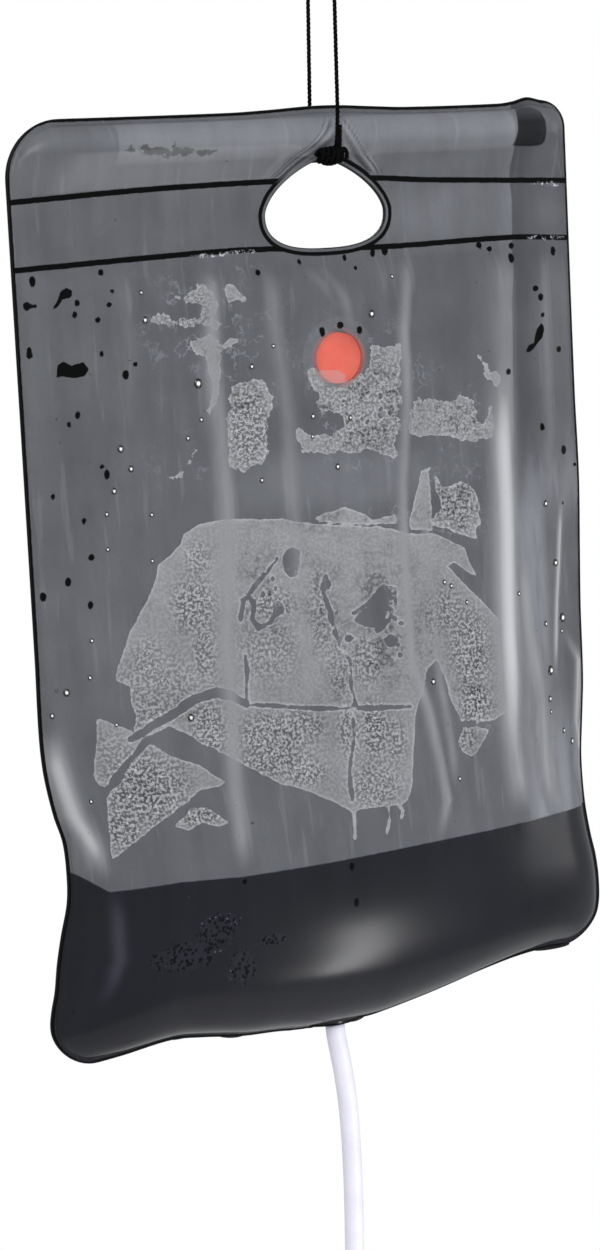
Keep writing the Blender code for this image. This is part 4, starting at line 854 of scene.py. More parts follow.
def make_front():
    hole = (OPENING_X, OPENING_REACH, opening_half)
    mesh, x, s = film_mesh("clear_film", -1, FRONT_STEP, [hole], front_push)
    mist = np.minimum(nearest(MIST, x, s), -nearest(MIST_HOLES, x, s))
    for line in CRACKS:
        mist = np.minimum(mist, line_distance(line, x, s) - CRACK_HALF)
    mist = np.minimum(mist, line_distance(WIDE_CRACK, x, s) - WIDE_CRACK_HALF)
    for line in RUNS:
        mist = np.maximum(mist, CRACK_HALF - line_distance(line, x, s))
    touch = nearest(TOUCHES, x, s)
    rng = np.random.default_rng(3)
    for cx, cs in pairs(TOUCH_DOTS + SEAM_DRIPS):
        size, tall = rng.uniform(0.0013, 0.0024), rng.uniform(0.8, 1.7)
        touch = np.maximum(touch, size - np.hypot(x - cx * MM, (s - cs * MM) / tall))
    outlined = {
        "mist": mist, "touch": touch,
        "plug": patch_distance(PLUG_PATCH, x, s), "smear": patch_distance(SMEAR, x, s),
    }
    for name, away in outlined.items():
        store(mesh, name, np.clip(away, -0.02, 0.02) / MM)
    soft = {"grain": GRAINS, "spotted": SPOTTED, "haze_and_sheen": HAZE_AND_SHEEN, "marked": MARKED, "damp": DAMP_PATCHES}
    for name, rows in soft.items():
        store(mesh, name, patches(rows, x, s))
    # Painted glints on the seams
    white = [np.hypot((x - cx * MM) / 7.0, s - cs * MM) for cx, cs in pairs(SEAM_GLINTS)]
    distances = {
        "white": np.min(white, axis=0),
        "upper": s - upper_seam(x),
        "lower": s - lower_seam(x),
        "ring": opening_away(x, s),
        "rim": np.minimum(edge(x, s) - np.abs(x), np.minimum(s, BAG_HEIGHT - s)),
        "wet": s - np.interp(x, *line_arrays(WATER_LINE)),
        "crease": x - along_line(CREASE_LINE, s),
    }
    for name, away in distances.items():
        store(mesh, name, away / MM)
    # Painted light and shade along the pleats by the knot
    store(mesh, "pleat_light_and_shade", pleats(x, s))
    store(mesh, "whitened_and_lit", fold_whitened_and_lit(x, s) * smooth((s - LOWER_SEAM) / 0.02))
    store(mesh, "depth", s)
    store(mesh, "across", x)
    film = add("clear_film", mesh, [film_skin(), inner_skin()], ["front_film"])
    thicken(film, inner_slot=1)


def make_back():
    holes = [(OPENING_X, OPENING_REACH, opening_half), (VALVE_X, VALVE_REACH, valve_half)]
    mesh, _, _ = film_mesh("black_film", 1, BACK_STEP, holes, back_push)
    thicken(add("black_film", mesh, [black_skin()], ["back_film"]), inner_slot=0)


def heading(x, s, closed):
    """The direction of a line of places at each of them."""
    if closed:
        dx, ds = np.roll(x, -1) - np.roll(x, 1), np.roll(s, -1) - np.roll(s, 1)
    else:
        dx, ds = np.gradient(x), np.gradient(s)
    long = np.hypot(dx, ds)
    return dx / long, ds / long


def strip(name, x, s, half_sizes, material, replaces, closed=False):
    """A fused strip: a flattened round bar along a line of places in the bag's middle plane."""
    dx, ds = heading(x, s, closed)
    wide, thick = half_sizes
    sides = 12
    rings = []
    for angle in np.arange(sides) * math.tau / sides:
        c, d = math.cos(angle), math.sin(angle)
        size = (abs(c) ** 3 + abs(d) ** 3) ** (-1 / 3)
        out, up = wide * c * size, thick * d * size
        rings.append(hang(x - ds * out, s + dx * out, np.full(x.shape, up)))
    faces = bridge(len(x), sides, closed) + ([] if closed else ends(len(x), sides))
    mesh = join_mesh(name, np.stack(rings, axis=1).reshape(-1, 3), faces)
    tidy_normals(mesh)
    add(name, mesh, [material], replaces)


def tidy_normals(mesh):
    bm = bmesh.new()
    bm.from_mesh(mesh)
    bmesh.ops.recalc_face_normals(bm, faces=bm.faces)
    bm.to_mesh(mesh)
    bm.free()


def rim_line(inset):
    """The outline's places from the outlet's left side up, over and down to its right side."""
    wall, bottom = BAG_WIDTH / 2 - inset, BAG_HEIGHT - inset
    low, left, right = (radius - inset for radius in (BOTTOM_RADIUS, TOP_LEFT_RADIUS, TOP_RIGHT_RADIUS))
    corners = (
        (-wall + low, bottom - low, low, 90, 14, 50),
        (-wall + left, inset + left, left, 180, 20, 160),
        (wall - right, inset + right, right, 270, 14, 110),
        (wall - low, bottom - low, low, 0, 14, 160),
    )
    places = [(OUTLET_X - OUTLET_CLEAR, bottom)]
    for cx, cs, radius, start, steps, run in corners:
        angle = np.radians(np.linspace(start, start + 90, steps))
        arc = np.stack([cx + radius * np.cos(angle), cs + radius * np.sin(angle)], axis=-1)
        places += [*np.linspace(places[-1], arc[0], run, endpoint=False)[1:], *arc]
    last = (OUTLET_X + OUTLET_CLEAR, bottom)
    places += [*np.linspace(places[-1], last, 50, endpoint=False)[1:], last]
    return np.array(places).T


def make_welds(fused):
    strip("rim_weld", *rim_line(RIM_INSET), RIM_STRIP, fused, ["edge_weld"])
    end = BAG_WIDTH / 2 - RIM_WIDTH - 0.0005
    near = float(opening_half(np.array(UPPER_SEAM - 0.0035))) + 0.009
    for name, seam, gap in (("upper", upper_seam, near), ("lower", lower_seam, OPENING_HALF)):
        for side, first, last in (("left", -end, OPENING_X - gap), ("right", OPENING_X + gap, end)):
            x = np.linspace(first, last, 60)
            strip(f"{name}_weld_{side}", x, seam(x), SEAM_STRIP, fused, [f"{name}_seam_{side}"])
    x, s = opening_line(200)
    dx, ds = heading(x, s, closed=True)
    x, s = x + ds * RING_OUT, np.maximum(s - dx * RING_OUT, SLEEVE_FLOOR + 0.0008)
    strip("opening_lip", x, s, RING_STRIP, fused, ["opening_weld"], closed=True)


def make_water():
    """The water, a little inside both films, with its top level."""
    rows = np.concatenate([[WATER_DEPTH], np.linspace(WATER_DEPTH + 0.004, BOAT_TOP - 0.0006, 26)])
    side = BAG_WIDTH / 2 - WATER_INSET
    x, s = sheet_places(rows, np.linspace(-side, side, 90))
    front, back = (
        hang(x, s, sign * np.maximum(half_gap(x, s) + np.minimum(push(x, s), 0.0) - 0.0010, 0.0002))
        for sign, push in ((-1, front_push), (1, back_push))
    )
    rings = np.concatenate([front, back[:, ::-1]], axis=1)
    high, around = rings.shape[:2]
    faces = bridge(high, around)
    for start in (0, (high - 1) * around):
        far = start + around - 1
        faces += [(start + j, start + j + 1, far - j - 1, far - j) for j in range(around // 2 - 1)]
    mesh = join_mesh("water", rings.reshape(-1, 3), faces)
    tidy_normals(mesh)
    add("water", mesh, [water_skin()], ["water_fill"])


# Materials


class Value:
    """A node's output, with the plain signs for sums on it."""

    def __init__(self, shade, socket):
        self.shade = shade
        self.socket = socket

    def __add__(self, other):
        return self.shade.calc("ADD", self, other)

    def __sub__(self, other):
        return self.shade.calc("SUBTRACT", self, other)

    def __rsub__(self, other):
        return self.shade.calc("SUBTRACT", other, self)

    def __mul__(self, other):
        return self.shade.calc("MULTIPLY", self, other)

    def __abs__(self):
        return self.shade.calc("ABSOLUTE", self)

    __radd__ = __add__
    __rmul__ = __mul__

    def ramp(self, low, high, start=0.0, end=1.0):
        """Runs smoothly from start to end while this output runs from low to high."""
        node = self.shade.make("MapRange", Value=self, From_Min=low, From_Max=high, To_Min=start, To_Max=end)
        node.interpolation_type = "SMOOTHSTEP"
        return Value(self.shade, node.outputs[0])


class Shade:
    """A material, or the world, made of nodes."""

    def __init__(self, name, kind=bpy.data.materials):
        self.holder = kind.new(name)
        self.holder.use_nodes = True
        self.tree = self.holder.node_tree
        self.tree.nodes.clear()

    def put(self, socket, value):
        if isinstance(value, Value):
            self.tree.links.new(value.socket, socket)
        elif isinstance(value, tuple) and socket.type == "RGBA":
            socket.default_value = (*value, 1.0)
        else:
            socket.default_value = value

    def make(self, kind, **inputs):
        node = self.tree.nodes.new("ShaderNode" + kind)
        for name, value in inputs.items():
            self.put(node.inputs[name.replace("_", " ")], value)
        return node

    def get(self, kind, **inputs):
        return Value(self, self.make(kind, **inputs).outputs[0])

    def fill(self, node, *values):
        """Sets a node's first inputs in their order."""
        for socket, value in zip(node.inputs, values):
            self.put(socket, value)
        return Value(self, node.outputs[0])

    def calc(self, operation, *values, clamp=False):
        node = self.make("Math")
        node.operation = operation
        node.use_clamp = clamp
        return self.fill(node, *values)

    def most(self, first, *others):
        for other in others:
            first = self.calc("MAXIMUM", first, other)
        return first

    def between(self, kind, share, a, b):
        node = self.make("Mix")
        node.data_type, of_kind = kind
        self.put(node.inputs[0], share)
        for socket, value in zip([socket for socket in node.inputs if socket.type == of_kind][-2:], (a, b)):
            self.put(socket, value)
        return Value(self, [socket for socket in node.outputs if socket.type == of_kind][0])

    def blend(self, share, a, b):
        """A number between a and b."""
        return self.between(("FLOAT", "VALUE"), share, a, b)

    def colour(self, share, a, b):
        return self.between(("RGBA", "RGBA"), share, a, b)

    def field(self, name):
        """A film's or drop's own number at each place."""
        node = self.make("Attribute")
        node.attribute_name = name
        return Value(self, node.outputs["Fac"])

    def join(self, x, y, z=0.0):
        return self.fill(self.make("CombineXYZ"), x, y, z)

    def place(self):
        return Value(self, self.make("TexCoord").outputs["Object"])

    def noise(self, where, scale, detail=3.0, rough=0.55):
        return self.get("TexNoise", Vector=where, Scale=scale, Detail=detail, Roughness=rough)

    def cells(self, where, scale):
        return self.get("TexVoronoi", Vector=where, Scale=scale)

    def warp(self, where, scale, amount):
        """Moves places about a little, by amount metres at most."""
        noise = self.make("TexNoise", Vector=where, Scale=scale, Detail=2.0).outputs[1]
        node = self.make("VectorMath")
        node.operation = "MULTIPLY_ADD"
        return self.fill(node, Value(self, noise), Vector((amount, amount, 0.0)), where)

    def bump(self, height, strength, distance):
        return self.get("Bump", Height=height, Strength=strength, Distance=distance)

    def shaders(self, share, a, b):
        return self.fill(self.make("MixShader"), share, a, b)

    def finish(self, shader, kind="Material"):
        self.make("Output" + kind, Surface=shader)
        return self.holder

    def principled(self, **inputs):
        return self.finish(self.get("BsdfPrincipled", **inputs))


def grey(shade, value, red=1.0, green=1.0, blue=1.0):
    """A colour of one value with a slight tint."""
    return shade.join(value * red, value * green, value * blue)


def film_skin():
    """The clear film: smoky over the black one, misted, touching it in places, and dark where wet."""
    f = Shade("clear_film")
    names = ("across", "depth", "crease", "grain", "spotted", "marked", "whitened_and_lit")
    across, depth, crease, grain, spotted, marked, whitened_and_lit = (f.field(name) for name in names)
    where = f.join(across, depth)
    broad = f.noise(where, 11.0, 2.0)
    streaks = f.noise(f.join(3.0 * across, 0.5 * depth), 22.0, 3.0, 0.6)
    speck = f.noise(where, 150.0, 3.0, 0.7)
    patchy = f.noise(where, 45.0, 3.0, 0.6)
    streak, fleck, patch = streaks - 0.5, speck - 0.5, patchy - 0.5
    contour = abs(f.noise(f.warp(where, 60.0, 0.008), 75.0, 3.0, 0.6) - 0.52)
    marks = contour.ramp(0.010, 0.034, 1.0, 0.0) * patchy.ramp(0.46, 0.60) * marked

    # Dry film: painted shade right of the crease above the mist and in a band further right lower down, a
    # painted highlight along the crease, and a painted highlight right of it below
    lines = f.noise(f.join(7.0 * across, 0.6 * depth), 24.0, 2.0, 0.5).ramp(0.60, 0.72)
    # The lighter patches are partly haze and partly a painted highlight along the sleeve over the rod
    dry = 0.082 + 0.05 * broad + 0.06 * streak + 0.025 * lines + 0.03 * patch + 0.045 * f.field("haze_and_sheen")
    upper_part = depth.ramp(0.20, 0.29, 1.0, 0.0)
    crease_shade = crease.ramp(0.0, 1.6) * upper_part * crease.ramp(1.6, 24.0, 0.42, 0.12)
    # Painted light and shade along the pleats by the knot, and the painted shade right of the crease
    dry = dry * (1.0 + 0.66 * f.field("pleat_light_and_shade")) * (1.0 - crease_shade)
    # A painted highlight along the crease
    crease_highlight = crease.ramp(-14.0, -1.0) * crease.ramp(0.0, 1.5, 1.0, 0.0) * upper_part
    dry = dry + 0.035 * crease_highlight * streaks.ramp(0.3, 0.7, 0.6, 1.0)
    # Painted shade further right, and a painted highlight right of the crease lower down
    shaded = crease.ramp(17.0, 29.0) * depth.ramp(0.24, 0.29) * depth.ramp(0.385, 0.44, 1.0, 0.0)
    lifted_highlight = crease.ramp(-6.0, 12.0) * depth.ramp(0.20, 0.28) * (1.0 - shaded)
    dry = dry * (1.0 - 0.10 * shaded) + 0.105 * lifted_highlight * streaks.ramp(0.3, 0.6, 0.35, 1.0)
    dry = f.blend(0.85 * (f.field("smear") + 16.0 * fleck).ramp(-0.5, 1.2), dry, 0.015)
    dry = f.blend(marks * speck.ramp(0.40, 0.60, 0.35, 0.95), dry, 0.26)

    # Mist, with a ragged rim, round dry spots and grains
    ragged = f.blend(grain, 0.45, 1.0) + depth.ramp(0.235, 0.250, 1.3, 0.0) + 0.5 * spotted
    mist = f.field("mist") + 8.0 * ragged * patch + 4.0 * ragged * fleck
    spots = f.cells(f.warp(where, 90.0, 0.006), 125.0) - patchy.ramp(0.35, 0.6, 0.10, 0.34)
    mist = f.calc("MINIMUM", mist, 8.0 * spots + 7.0 * (1.0 - spotted))
    inside = mist.ramp(-0.2, 0.3)
    grains = f.noise(where, 480.0, 2.0, 0.6)
    worms = grains.ramp(0.43, 0.59)
    misted = depth.ramp(0.26, 0.34, 0.235, 0.20) + 0.06 * broad + 0.09 * mist.ramp(0.2, 1.8, 1.0, 0.0)
    misted = misted - 0.01 * grain + 0.12 * patch + 0.06 * streak
    misted = misted + 0.10 * marks - 0.10 * marked * contour.ramp(0.02, 0.05, 1.0, 0.0)
    misted = misted + (worms - 0.52) * f.blend(grain, 0.05, 0.27)
    misted = misted + 0.20 * grain * f.cells(where, 330.0).ramp(0.26, 0.12)

    # Film stretched white along the folds, with a painted highlight on them
    covered = f.calc("MINIMUM", whitened_and_lit * streaks.ramp(0.25, 0.65, 0.72, 1.05), 1.0)
    stretched_and_lit = 0.255 + 0.26 * f.most(whitened_and_lit - 1.0, 0.0) + 0.07 * streak

    # Film wet with the water behind it, with a damp stain
    wet = (f.field("wet") + 0.8 * fleck).ramp(-0.5, 0.6)
    damp = (f.field("damp") + 2.2 * fleck).ramp(0.30, 0.62)
    pits = damp * f.cells(f.warp(where, 200.0, 0.003), 380.0).ramp(0.50, 0.34)
    lit = f.cells(where, 520.0).ramp(0.26, 0.14) * patchy.ramp(0.52, 0.60)
    # The folds' painted highlight shows faintly in the wet film too
    soaked = 0.003 + 0.006 * broad + 0.006 * streaks + 0.004 * damp + 0.20 * damp * lit + 0.05 * whitened_and_lit

    # Places that show the black film or the rod's end behind, and painted glints on the seams
    # The dark patch over the rod's end fades towards its top, a painted sheen there
    plug = f.field("plug").ramp(-0.3, 0.8) * depth.ramp(0.004, 0.013, 0.45, 1.0)
    touches = (f.field("touch") + 1.5 * fleck).ramp(-0.3, 0.3)
    black = f.most(touches, seam_marks(f, fleck), 0.80 * pits)
    # Painted glints on the seams
    white = f.field("white").ramp(0.9, 1.8, 1.0, 0.0) * speck.ramp(0.47, 0.55) * grains.ramp(0.45, 0.6)

    value = f.blend(inside, dry, misted)
    for share, shade in ((covered, stretched_and_lit), (wet, soaked), (0.92 * plug, 0.016 * patchy), (black, 0.003)):
        value = f.blend(share, value, shade)
    value = value + 0.45 * white
    alpha = f.blend(inside, 0.62, 0.88)
    for share, level in ((wet, 0.95), (plug, 0.40), (black, 0.98)):
        alpha = f.blend(share, alpha, level)
    off_x, off_s = across - WINDOW_X, depth - VALVE_DEPTH
    off = f.calc("SQRT", off_x * off_x + off_s * off_s)
    window = off.ramp(WINDOW_RADIUS - MM, WINDOW_RADIUS + MM, 1.0, 0.0)
    for share, shade, level in ((window * (1.0 - inside), 0.02, 0.07), (window * inside, 0.14, 0.36)):
        value, alpha = f.blend(share, value, shade), f.blend(share, alpha, level)
    base = f.calc("DIVIDE", value, alpha, clamp=True)
    neutral = f.most(inside, covered)
    blue = f.blend(neutral, 1.10, 1.04) + 0.10 * crease_shade + 0.35 * wet
    shine = f.blend(inside, f.blend(wet, 0.24, 0.27), 0.10)
    return f.principled(
        Base_Color=f.join(base * f.blend(neutral, 0.965, 0.99), base, base * blue),
        Roughness=f.blend(inside, f.blend(wet, 0.30, 0.215), 0.6),
        Specular_IOR_Level=f.blend(f.most(black, plug), shine, 0.05),
        Alpha=alpha,
        Normal=f.bump(f.blend(wet, 0.35, 0.10) * speck + 0.5 * worms * inside, 0.12, 0.0006),
    )


def seam_marks(f, fleck):
    """Where the films are fused or pressed together: both seams, the opening's ring and the rim."""
    jitter = 0.9 * fleck
    ring = f.field("ring")
    off_ring = ring.ramp(3.0, 4.5)
    seams = [abs(f.field(name) + jitter).ramp(1.5, 2.1, 1.0, 0.0) * off_ring for name in ("upper", "lower")]
    ring = ring + 0.6 * jitter
    right = f.field("across").ramp(OPENING_X + 0.002, OPENING_X + 0.014)
    arch = f.most(f.field("depth").ramp(0.036, 0.046, 0.25, 1.0), right)
    outer = ring.ramp(1.9, 2.5) * ring.ramp(4.5, 5.1, 1.0, 0.0) * arch
    inner = ring.ramp(0.4, 0.8, 0.8, 0.0)
    rim = (f.field("rim") + jitter).ramp(1.0, 1.7, 1.0, 0.0)
    return f.most(*seams, outer, inner, rim)


def black_skin():
    f = Shade("black_film")
    where = f.place()
    broad = f.noise(where, 14.0)
    return f.principled(
        Base_Color=grey(f, 0.005 + 0.006 * broad, 0.97, 1.0, 1.08),
        Roughness=broad.ramp(0.3, 0.7, 0.32, 0.45),
        Specular_IOR_Level=0.25,
        Normal=f.bump(f.noise(where, 260.0), 0.08, 0.0004),
    )


def inner_skin():
    """The clear film's inner face: nothing but a faint sheen."""
    f = Shade("film_inside")
    rough = f.noise(f.place(), 30.0).ramp(0.3, 0.7, 0.2, 0.3)
    sheen = f.get("BsdfGlossy", Color=(0.9, 0.9, 0.95), Roughness=rough)
    return f.finish(f.shaders(0.015, f.get("BsdfTransparent"), sheen))


def plain(name, low, high, roughness, level=0.5, scale=60.0, bump=0.05, distance=0.0003, **more):
    """A plastic, rubber or cord finish: a colour that varies a little, and a fine bump."""
    f = Shade(name)
    where = f.place()
    broad = f.noise(where, scale)
    return f.principled(
        Base_Color=f.colour(broad.ramp(0.3, 0.7), low, high),
        Roughness=broad.ramp(0.3, 0.7, roughness * 0.9, min(1.0, roughness * 1.12)),
        Specular_IOR_Level=level,
        Normal=f.bump(f.noise(where, scale * 14, 2.0), bump, distance),
        **more,
    )


def rod_skin():
    """The grey tube, black at its right end."""
    f = Shade("rod")
    where = f.place()
    end = max(corner[0] for corner in NODES["handle_rod"].bound_box)
    held = f.get("SeparateXYZ", Vector=where).ramp(end - BLACK_END, end - BLACK_END + 0.5 * MM)
    grey_tube = f.colour(f.noise(where, 60.0).ramp(0.3, 0.7), (0.30, 0.31, 0.33), (0.38, 0.39, 0.41))
    return f.principled(
        Base_Color=f.colour(held, grey_tube, (0.009, 0.009, 0.010)),
        Roughness=0.4,
        Specular_IOR_Level=f.blend(held, 0.5, 0.12),
        Normal=f.bump(f.noise(where, 840.0, 2.0), 0.05, 0.0003),
    )


def cap_skin():
    """Red plastic that light comes through, with a faint painted glow from its emission."""
    f = Shade("fill_cap")
    where = f.place()
    body = f.get(
        "BsdfPrincipled",
        Base_Color=f.colour(f.noise(where, 90.0).ramp(0.35, 0.65), (0.95, 0.23, 0.155), (0.95, 0.29, 0.20)),
        Roughness=0.38,
        Specular_IOR_Level=0.4,
        # A faint painted glow: the cap gives off light of its own
        Emission_Color=(1.0, 0.23, 0.15),
        Emission_Strength=0.20,
        Normal=f.bump(f.noise(where, 700.0), 0.06, 0.0003),
    )
    return f.finish(f.shaders(0.35, body, f.get("BsdfTranslucent", Color=(0.95, 0.32, 0.21))))


def clear_plastic():
    f = Shade("valve")
    where = f.place()
    broad = f.noise(where, 120.0, 2.0)
    return f.principled(
        Base_Color=f.colour(broad, (0.26, 0.27, 0.30), (0.34, 0.35, 0.39)),
        Roughness=broad.ramp(0.3, 0.7, 0.16, 0.26),
        Specular_IOR_Level=0.5,
        Alpha=0.30,
        Normal=f.bump(f.noise(where, 500.0), 0.06, 0.0003),
    )


def water_skin():
    f = Shade("water")
    ripple = f.noise(f.place(), 40.0, 2.0)
    return f.principled(
        Base_Color=f.colour(ripple, (0.006, 0.007, 0.009), (0.010, 0.011, 0.014)),
        Roughness=ripple.ramp(0.3, 0.7, 0.05, 0.12),
        Specular_IOR_Level=0.25,
        Alpha=0.55,
    )


def hose_skin():
    """White rubber, a little translucent and faintly blotched."""
    f = Shade("hose")
    where = f.place()
    broad = f.noise(where, 45.0)
    return f.principled(
        Base_Color=f.colour(broad.ramp(0.3, 0.7), (0.77, 0.755, 0.85), (0.82, 0.805, 0.89)),
        Roughness=broad.ramp(0.3, 0.7, 0.36, 0.46),
        Specular_IOR_Level=0.45,
        Subsurface_Weight=0.25,
        Subsurface_Scale=0.003,
        Normal=f.bump(f.noise(where, 900.0, 2.0), 0.06, 0.0002),
    )


def drop_skin():
    """Water drops, with painted refraction and a painted highlight: a pale foot, a dark ring and a bright
    middle.
    """
    f = Shade("droplet")
    height = f.field("height") + 0.06 * (f.noise(f.place(), 900.0, 2.0) - 0.5)
    # The pale foot, dark ring and bright middle are painted refraction and a painted highlight
    foot = height.ramp(0.20, 0.34, 0.34, 0.015)
    return f.principled(
        Base_Color=grey(f, f.blend(height.ramp(0.78, 0.92), foot, 0.95)),
        Roughness=0.12,
        Specular_IOR_Level=0.5,
        Alpha=height.ramp(0.05, 0.25, 0.5, 1.0),
    )


# Cord, hose and small pieces


def through(points, spacing):
    """Evenly spaced points along a smooth line through the given ones."""
    points = [Vector(p) for p in points]
    longer = [2 * points[0] - points[1], *points, 2 * points[-1] - points[-2]]
    fine = []
    for a, b, c, d in zip(longer, longer[1:], longer[2:], longer[3:]):
        for step in range(24):
            t = step / 24
            fine.append(0.5 * (
                2 * b + (c - a) * t + (2 * a - 5 * b + 4 * c - d) * t**2 + (3 * b - a - 3 * c + d) * t**3
            ))
    fine.append(points[-1])
    run = np.concatenate([[0], np.cumsum([(q - p).length for p, q in zip(fine, fine[1:])])])
    count = max(2, round(run[-1] / spacing) + 1)
    at = np.linspace(0, run[-1], count)
    array = np.array([tuple(p) for p in fine])
    return [Vector(row) for row in np.stack([np.interp(at, run, array[:, k]) for k in range(3)], axis=-1)]


def axes_along(points):
    """Two directions square to the line at each point, that don't spin."""
    tangents = []
    for k in range(len(points)):
        before, after = points[max(k - 1, 0)], points[min(k + 1, len(points) - 1)]
        tangents.append((after - before).normalized())
    side = tangents[0].orthogonal().normalized()
    axes = []
    for tangent in tangents:
        side = (side - tangent * side.dot(tangent)).normalized()
        axes.append((side, tangent.cross(side)))
    return axes


def tube_points(points, radius, sides):
    """Rings of points round a line."""
    rings = []
    for centre, (a, b) in zip(points, axes_along(points)):
        for k in range(sides):
            angle = math.tau * k / sides
            rings.append(centre + radius * (math.cos(angle) * a + math.sin(angle) * b))
    return rings


def strands(points, radius):
    """A twisted rope along a line: its strands as tubes that wind round each other."""
    strand = radius * 0.54
    run, runs = 0.0, [0.0]
    for p, q in zip(points, points[1:]):
        run += (q - p).length
        runs.append(run)
    axes = axes_along(points)
    parts = []
    for k in range(ROPE_STRANDS):
        line = []
        for centre, (a, b), at in zip(points, axes, runs):
            angle = math.tau * (at / ROPE_PITCH + k / ROPE_STRANDS)
            line.append(centre + (radius - strand) * (math.cos(angle) * a + math.sin(angle) * b))
        sides = 7
        parts.append((tube_points(line, strand, sides), bridge(len(line), sides) + ends(len(line), sides)))
    return gather(parts)


def make_rope(material):
    line = through(ROPE_ROUTE, ROPE_SPACING)
    mesh = join_mesh("rope_loop", *strands(line, ROPE_RADIUS))
    rope = add("rope_loop", mesh, [material], ["hanging_rope"])


def make_knot(material):
    """The knot under the rod: the loop's ends wound round each other, with a tail up beside the rope."""
    low, high = (Vector(corner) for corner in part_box("rope_knot"))
    middle = (low + high) / 2 + Vector(KNOT_MOVE)
    size = Vector(KNOT_SIZE)

    def place(x, y, z):
        """A point of the knot, which is wider and further left low down."""
        return middle + Vector((size.x * (x * (1.0 - 0.30 * z) + 0.20 * z), size.y * y, size.z * z))

    line, wraps = [], []
    for angle in np.linspace(0, math.tau, 97):
        line.append(place(
            0.40 * (math.sin(angle) + 1.1 * math.sin(2 * angle)) / 1.75,
            0.30 * math.sin(3 * angle),
            0.34 * (math.cos(angle) - 1.1 * math.cos(2 * angle)) / 1.75,
        ))
    for share in np.linspace(-0.5, 0.5, 221):
        angle = math.tau * 5.6 * (share + 0.5)
        wide = 1.0 - 0.45 * abs(share)
        wraps.append(place(share * 0.84, 0.30 * wide * math.cos(angle), 0.36 * wide * math.sin(angle)))
    tail = through(KNOT_TAIL, ROPE_SPACING)
    mesh = join_mesh("knot", *gather(strands(path, ROPE_RADIUS * 0.98) for path in (line, wraps, tail)))
    add("knot", mesh, [material], ["rope_knot"])


def make_hose():
    """The hose as one wall: out along its outside and back along its bore."""
    line = through([Vector(HOSE_START) + Vector(step) for step in HOSE_STEPS], HOSE_SPACING)
    sides = 32
    outer, bore = tube_points(line, HOSE_RADIUS, sides), tube_points(line, HOSE_BORE, sides)
    for k in reversed(range(len(line))):
        outer += bore[k * sides:(k + 1) * sides]
    mesh = join_mesh("hose_pipe", outer, bridge(2 * len(line), sides, closed=True))
    tidy_normals(mesh)
    hose = add("hose_pipe", mesh, [hose_skin()], ["hose"])


def make_flash(fused):
    """Small tabs of squeezed-out weld along the bottom edge."""
    sides = 28
    angle = np.arange(sides) * math.tau / sides
    out = 0.5 + 0.5 * np.sin(angle)
    parts = []
    for x, wide, drop in WELD_TABS:
        across = (x + wide * np.cos(angle) * (1 - 0.25 * out)) * MM
        down = BAG_HEIGHT - 0.0022 + (drop + 1.6) * out * MM
        rings = [p for y in (-0.0008, 0.0008) for p in hang(across, down, np.full(sides, y))]
        parts.append((rings, bridge(2, sides) + ends(2, sides)))
    mesh = join_mesh("weld_flash", *gather(parts))
    tidy_normals(mesh)
    add("weld_flash", mesh, [fused], smooth_faces=False)


def make_drops():
    """Water drops on the films: small domes, flat on the film's face."""
    rng = np.random.default_rng(5)
    sides = 12
    # Each ring's radius and its height over the film as shares of the drop's radius, and its place in the
    # drop's painted shade and highlight
    rows = ((1.0, -0.12, 0.0), (0.93, 0.16, 0.3), (0.72, 0.33, 0.55), (0.40, 0.45, 0.85))
    top = len(rows) * sides
    faces = bridge(len(rows), sides)
    for k in range(sides):
        j = (k + 1) % sides
        faces += [(top - sides + k, top - sides + j, top), (j, k, top + 1)]
    large = pairs(LARGE_DROPS)
    parts = []
    for x, s in pairs(DROPS):
        radius = (1.4 + rng.uniform() ** 2 + ((x, s) in large)) * MM
        at, down = np.array([x, x + 1, x]) * MM, np.array([s, s, s + 1]) * MM
        a, b, c = (Vector(p) for p in hang(at, down, -(half_gap(at, down) + FILM + front_push(at, down))))
        across, down = (b - a).normalized(), (c - a).normalized()
        out = across.cross(down).normalized()
        if out.y > 0:
            out = -out
        points = []
        for wide, high, _ in rows:
            for k in range(sides):
                angle = math.tau * k / sides
                ring = math.cos(angle) * across + 1.15 * math.sin(angle) * down
                points.append(a + radius * (wide * ring + high * out))
        points += [a + radius * 0.48 * out, a - radius * 0.12 * out]
        parts.append((points, faces))
    mesh = join_mesh("droplets", *gather(parts))
    heights = [height for _, _, height in rows for _ in range(sides)] + [1.0, 0.0]
    store(mesh, "height", heights * len(parts))
    tidy_normals(mesh)
    add("droplets", mesh, [drop_skin()])


# Scene


# Lamps: name, place, aim, width and height, and power
LAMPS = (
    ("key", (-1.5, -1.9, 0.9), (0.0, 0.0, -0.4), (1.4, 1.4), 42.0),
    ("glint", (0.350, -0.74, -0.96), (-0.024, -0.04, -0.633), (0.100, 0.40), 2.1),
    ("side", (2.2, -1.2, -0.2), (0.0, 0.0, -0.45), (1.2, 1.6), 14.0),
    ("rear", (0.4, 1.6, 0.5), (-0.02, 0.0, -0.4), (1.2, 1.2), 14.0),
)


def make_lamp(name, place, aim, size, power):
    data = bpy.data.lights.new(name, "AREA")
    data.shape = "RECTANGLE"
    data.size, data.size_y = size
    data.energy = power
    light = bpy.data.objects.new(name, data)
    light.location = place
    light.rotation_euler = (Vector(aim) - Vector(place)).to_track_quat("-Z", "Y").to_euler()
    bpy.context.scene.collection.objects.link(light)


def make_world():
    """White to the eye, and a soft fill of light all round."""
    f = Shade("room", bpy.data.worlds)
    bpy.context.scene.world = f.holder
    path = f.make("LightPath").outputs
    seen = f.most(Value(f, path["Is Camera Ray"]), Value(f, path["Is Transmission Ray"]))
    fill = f.get("Background", Color=(0.95, 0.97, 1.0), Strength=0.55)
    white = f.get("Background", Color=(1.0, 1.0, 1.0), Strength=1.0)
    f.finish(f.shaders(seen, fill, white), "World")


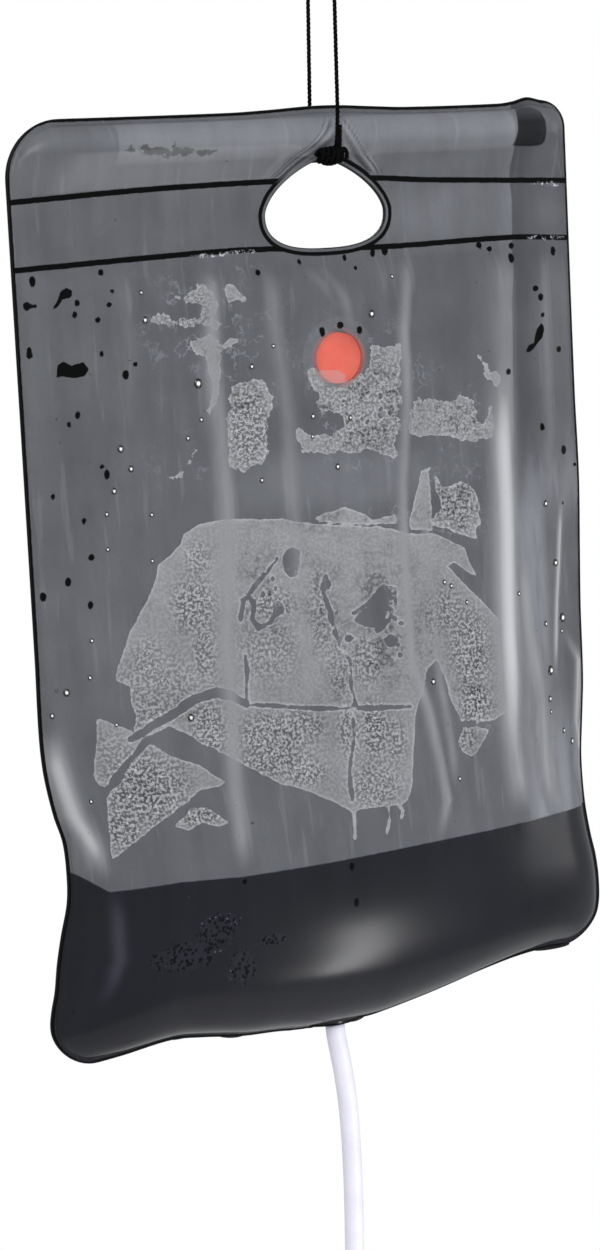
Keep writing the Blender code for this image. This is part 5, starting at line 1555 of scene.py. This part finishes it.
def make_floor():
    radius, height = 0.8, -1.32
    ring = [(radius * math.cos(a), radius * math.sin(a), height) for a in np.arange(64) * math.tau / 64]
    mesh = join_mesh("floor", ring, [tuple(range(64))])
    floor = bpy.data.objects.new("floor", mesh)
    bpy.context.scene.collection.objects.link(floor)
    f = Shade("floor")
    mesh.materials.append(f.principled(
        Base_Color=grey(f, 0.84 + 0.02 * f.noise(f.place(), 4.0)),
        Roughness=0.9,
        Specular_IOR_Level=0.1,
    ))
    floor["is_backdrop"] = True


# Finishes of the CAD nodes: name, nodes, darkest and lightest colour, roughness and specular level
FINISHES = (
    (
        "rod_plug", ("rod_plug_left", "rod_plug_right"),
        (0.007, 0.007, 0.008), (0.012, 0.012, 0.013), 0.35, 0.2,
    ),
    ("seal", ("cap_gasket",), (0.015, 0.015, 0.016), (0.03, 0.03, 0.032), 0.6, 0.5),
    ("outlet", ("outlet_boat",), (0.010, 0.010, 0.012), (0.02, 0.02, 0.022), 0.4, 0.5),
    (
        "washer", ("plug_ring_front", "plug_ring_rear", "head_washer"),
        (0.015, 0.015, 0.016), (0.03, 0.03, 0.032), 0.6, 0.5,
    ),
    ("tap_body", ("tap_body",), (0.016, 0.016, 0.018), (0.026, 0.026, 0.029), 0.38, 0.5),
    ("tap_plug", ("tap_plug",), (0.50, 0.50, 0.52), (0.58, 0.58, 0.60), 0.35, 0.5),
    ("tap_lever", ("tap_lever",), (0.62, 0.07, 0.04), (0.76, 0.12, 0.07), 0.35, 0.5),
    ("shower_head", ("shower_head",), (0.018, 0.018, 0.02), (0.03, 0.03, 0.033), 0.38, 0.5),
    ("rose_plate", ("rose_plate",), (0.50, 0.50, 0.52), (0.58, 0.58, 0.60), 0.4, 0.5),
)


def dress(name, material):
    """Gives a CAD node a material."""
    for slot in NODES[name].material_slots:
        slot.material = material


make_camera()

cordage = plain("rope", (0.001, 0.001, 0.001), (0.004, 0.004, 0.004), 0.8, 0.05, 160.0, 0.4, 0.0004)
make_rope(cordage)
make_hose()
make_knot(cordage)

make_front()
make_back()
fused = plain("weld", (0.003, 0.003, 0.0035), (0.006, 0.006, 0.007), 0.40, 0.12)
make_welds(fused)
make_flash(fused)
make_water()
make_drops()

for finish, nodes, low, high, roughness, level in FINISHES:
    material = plain(finish, low, high, roughness, level)
    for node in nodes:
        dress(node, material)
dress("lever_screw", plain("screw", (0.55, 0.55, 0.56), (0.62, 0.62, 0.63), 0.3, Metallic=1.0))
dress("handle_rod", rod_skin())
dress("valve_body", clear_plastic())
dress("fill_cap", cap_skin())

make_world()
make_floor()
for row in LAMPS:
    make_lamp(*row)

scene = bpy.context.scene
scene.view_settings.view_transform = "Standard"
low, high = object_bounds()
